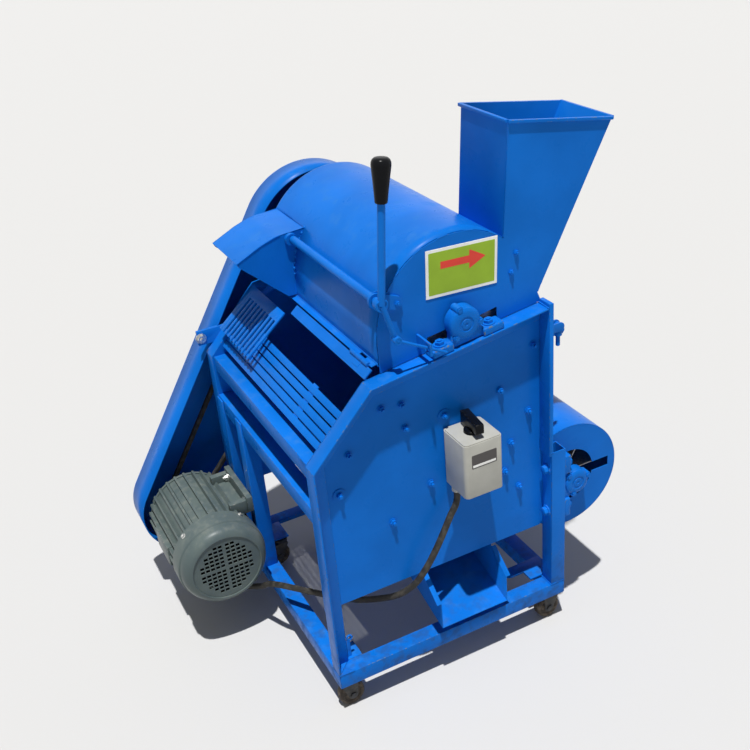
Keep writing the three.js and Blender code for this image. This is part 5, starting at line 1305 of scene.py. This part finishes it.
def motor_bolts():
    seats = [(-15.6, y, MOTOR_Z + s * 70) for y in (365, 465) for s in (-1, 1)]
    bolts("motor_foot_bolts", seats, LEFT, ZINC, "frame", MOTOR_BOLT)
    backs = [(-0.3, y, z) for _, y, z in seats]
    bolts("motor_rail_nuts", backs, RIGHT, ZINC, "frame", MOTOR_NUT)
    for i, angle in enumerate((0.9, 2.3, 3.9, 5.5)):
        out = Vector((math.cos(angle), 0, math.sin(angle)))
        seat = tuple(Vector((MOTOR_X, 331, MOTOR_Z)) + out * 87.8)
        bolts("cover_screw_%d" % i, [seat], tuple(out), ZINC, "frame", COWL_SCREW)


def motor_cowl():
    """The fan's cowl, turned as one wall with a step and a rolled rim, and the grille in it."""
    cover = Shape()
    cover.place = around(MOTOR_X, MOTOR_Z)
    outside = [
        (88, 339.7), (88, 309), (87.4, 306), (86, 304.6), (85, 303.8), (84.6, 300), (83, 293), (80, 287),
        (76, 282.4), (71.5, 279.4), (68.4, 278.4), (67.2, 278.8),
    ]
    inside_wall = [
        (66.8, 280.6), (66.8, 282.4), (69, 282.8), (74, 285), (78.6, 290), (81.4, 297), (82.6, 304),
        (85, 307.5), (86.5, 311), (86.5, 339.7),
    ]
    cover.turned([*outside, *inside_wall, outside[0]], sides=128)
    cover.slab("y", circle(0, 0, 67.2, 96), 280.6, 282.0, grille(), width=0)
    cover.piece("motor_cowl", MOTOR, "frame", "motor_fan_cover", smooth=30)


def motor_rotor():
    """The motor's shaft with its cooling fan and pulley."""
    blades, tip = 7, 66
    rotor = Shape()
    rotor.place = around(MOTOR_X, MOTOR_Z)
    rotor.pin(0, 0, 315.7, 562, MOTOR_BORE - 0.3, 40, 0.8)
    rotor.turned([(11, 316), (tip, 316), (tip, 319), (11, 319)], sides=64)
    for i in range(blades):
        turn = Matrix.Rotation(i * 2 * math.pi / blades, 4, "Y")
        rotor.block(-1.2, 1.2, 294, 316.3, 12, tip, 0.4, matrix=turn)
    rotor.piece("motor_rotor_parts", BLACK, "motor_rotor", "motor_shaft", slot="steel")
    centre = (MOTOR_X, MOTOR_Z)
    pulley("motor_sheave", "motor_pulley", "motor_rotor", centre, MOTOR_BELT_Y, (MOTOR_PULLEY,), MOTOR_BORE)


motor_shell()
motor_bolts()
motor_cowl()
motor_rotor()


# Switch, latch and casters


def rounded_plan(x0, x1, y0, y1, radius, steps=8):
    return [
        *arc(x1 - radius, y1 - radius, radius, 0, 90, steps),
        *arc(x0 + radius, y1 - radius, radius, 90, 180, steps),
        *arc(x0 + radius, y0 + radius, radius, 180, 270, steps),
        *arc(x1 - radius, y0 + radius, radius, 270, 360, steps),
    ]


def switch():
    """The moulded box with its lid, cable gland and blank label, and the turning knob on top."""
    left, right, face, back, lid = 248, 322, -41.6, 30, 500
    inset, step = 1.6, 1.2
    plan = rounded_plan(left, right, face, back, 8)
    lid_plan = rounded_plan(left + inset, right - inset, face + step, back - inset, 7)
    gland = [(6.3, 386), (8.4, 386), (9, 387), (9, 399), (6.3, 399), (6.3, 386)]
    shape = Shape()
    shape.slab("z", plan, 398, lid + 0.8, width=1.0, segments=2)
    shape.slab("z", lid_plan, lid, lid + 3, width=0.9, segments=2)
    shape.turned(gland, (258, 8, 0), axis="z", sides=8)
    shape.piece("switch_case", GREY, "frame", "switch_box")
    label = rounded_plan(261, 309, 455, 481, 1.5, 3)
    Shape().slab("y", label, -41.85, -41.5, width=0.1).piece("switch_label", LABEL, "frame")
    corners = [(263, 457), (307, 457), (307, 461.5), (263, 461.5)]
    strip = Shape().slab("y", corners, -41.95, -41.8, width=0)
    strip.piece("switch_label_strip", WHITE, "frame", slot="switch_plastic")

    knob = Shape()
    knob_foot, knob_turn = (285, -6, 503.3), math.radians(-6)
    knob.place = Matrix.Translation(knob_foot) @ Matrix.Rotation(knob_turn, 4, "Z")
    knob.turned([(0, 0), (14.2, 0), (14.8, 0.8), (14.4, 4.5), (12, 6.5), (0, 6.5)], axis="z", sides=48)
    side = [
        (29, 5), (30, 26), (26, 28), (-29, 27.6), (-31, 25), (-31, 11), (-29, 9), (-9, 12), (-4, 5), (-3, 1),
        (27, 1),
    ]
    knob.slab("x", side, -7.5, 7.5, width=2.4, segments=3)
    knob.piece("switch_knob", BLACK, "switch_handle", "switch_handle", smooth=40)


def latch():
    """The swinging eye bolt with its thread and wing nut."""
    x, y, z = 470, 12, 636
    threads = 10
    shape = Shape()
    shape.turned(collar(2.8, 6, -4.4, 4.4, 0.6), (x, y, z), sides=32)
    shape.rod((x, y, z - 4), (x, y, z - 38), 3.4, 20, 0.8)
    for i in range(threads):
        shape.turned([(3.3, 0), (3.9, 0.8), (3.3, 1.6)], (x, y, z - 37 + i * 1.7), axis="z", sides=16)
    nut = [(3.6, -18), (6.6, -18), (7, -17), (6, -9), (5.4, -8), (3.6, -8), (3.6, -18)]
    shape.turned(nut, (x, y, z), axis="z", sides=24)
    for side in (-1, 1):
        wing = [(5, -17), (9, -17.4), (12.6, -12), (12.8, -8.4), (10.5, -8.2), (5, -12)]
        shape.slab("y", [(x + side * u, z + v) for u, v in wing], y - 1.6, y + 1.6, width=0.7, segments=2)
    shape.piece("latch_wing_bolt", BLUE, "latch", "latch_bolt")


WHEEL_R, TRAIL = 25, 10
CASTERS = (
    ("near_left", 16, 24, 0),
    ("near_right", 464, 24, math.pi),
    ("far_left", 74, 462, math.pi),
    ("far_right", 406, 462, 0),
)


def caster(name, x, y, turn):
    """A swivel fork and its wheel; the far ones hang from a longer stem."""
    flip = Matrix.Translation((x, y, 0)) @ Matrix.Rotation(turn, 4, "Z")
    fork = Shape()
    fork.place = flip
    if name.startswith("far"):
        fork.rod((0, 0, 58), (0, 0, 88.7), 5, 24, 0.6)
    races = [
        (0, 61.7), (13.4, 61.7), (14, 61), (14, 59.6), (12.6, 58.6), (14, 57.4), (13.2, 54.8), (11, 53),
        (0, 53),
    ]
    fork.turned(races, axis="z", sides=48)
    back, front, top = -11, 22, 55.6
    cheek = [(back, top), (back, 52), *arc(TRAIL, WHEEL_R, 9.3, 184, 356, 16), (front, 52), (front, top)]
    for low, high in ((-12.5, -10.5), (10.5, 12.5)):
        fork.slab("y", cheek, low, high, width=0.6, segments=2)
    fork.block(back, front, -12.4, 12.4, 52.7, 55.7, 0.9)
    fork.pin(TRAIL, WHEEL_R, -13.6, 13.6, 4, 20)
    for low, high in ((-15.4, -12.4), (12.4, 15.4)):
        fork.pin(TRAIL, WHEEL_R, low, high, 6.3, 6, 0.3)
    fork.piece("fork_" + name, CASTER, "caster_fork_" + name, "caster_fork_" + name)
    wheel = Shape()
    wheel.place = flip @ Matrix.Translation((TRAIL, 0, WHEEL_R))
    half = [
        (4.4, -9), (9, -9), (10, -7.6), (15.5, -7.2), (17, -8.6), (21.4, -8.9), (23.6, -7.6), (24.8, -4.4),
    ]
    mirrored = [(radius, -along) for radius, along in half[::-1]]
    wheel.turned([*half, (WHEEL_R, 0), *mirrored, half[0]], sides=72)
    wheel.piece("wheel_" + name, TREAD, "caster_wheel_" + name, "caster_wheel_" + name, smooth=40)


switch()
latch()
for place in CASTERS:
    caster(*place)


# Stage

SUN_TOWARDS, SUN_STRENGTH, SUN_ANGLE, SUN_COLOUR = (-0.1, -0.22, 1.0), 4.1, 0.02, (1.0, 0.99, 0.97)
SKY_STRENGTH = 0.18
FLOOR_COLOUR = (0.58, 0.58, 0.58, 1)


def sun(towards, strength, angle, colour):
    data = bpy.data.lights.new("sun", "SUN")
    data.energy = strength
    data.angle = angle
    data.color = colour
    link("sun", data).rotation_euler = Vector(towards).to_track_quat("Z", "Y").to_euler()


def stage():
    """A pale floor, one sun, and a world that is white to the camera and dim to the object."""
    floor_bm = bmesh.new()
    bmesh.ops.create_grid(floor_bm, x_segments=1, y_segments=1, size=30)
    mesh = mesh_of("floor", floor_bm)
    floor = link("floor", mesh)
    pale = bpy.data.materials.new("pale_floor")
    pale.use_nodes = True
    shader = pale.node_tree.nodes["Principled BSDF"]
    shader.inputs["Base Color"].default_value = FLOOR_COLOUR
    shader.inputs["Roughness"].default_value = 0.8
    mesh.materials.append(pale)
    sun(SUN_TOWARDS, SUN_STRENGTH, SUN_ANGLE, SUN_COLOUR)
    world = bpy.data.worlds.new("soft_white")
    bpy.context.scene.world = world
    world.use_nodes = True
    sky = Network(world.node_tree)
    rays = sky.node("ShaderNodeLightPath").node.outputs
    seen = sky.node("ShaderNodeMath", {"operation": "MAXIMUM"}, rays["Is Camera Ray"], rays["Is Glossy Ray"])
    mixing = {"operation": "MULTIPLY_ADD"}
    strength = sky.node("ShaderNodeMath", mixing, seen, 1.0 - SKY_STRENGTH, SKY_STRENGTH)
    background = sky.tree.nodes["Background"]
    sky.feed(background.inputs["Strength"], strength)
    sky.feed(background.inputs["Color"], (1, 1, 1, 1))
    bpy.context.scene.view_settings.view_transform = "Standard"


stage()
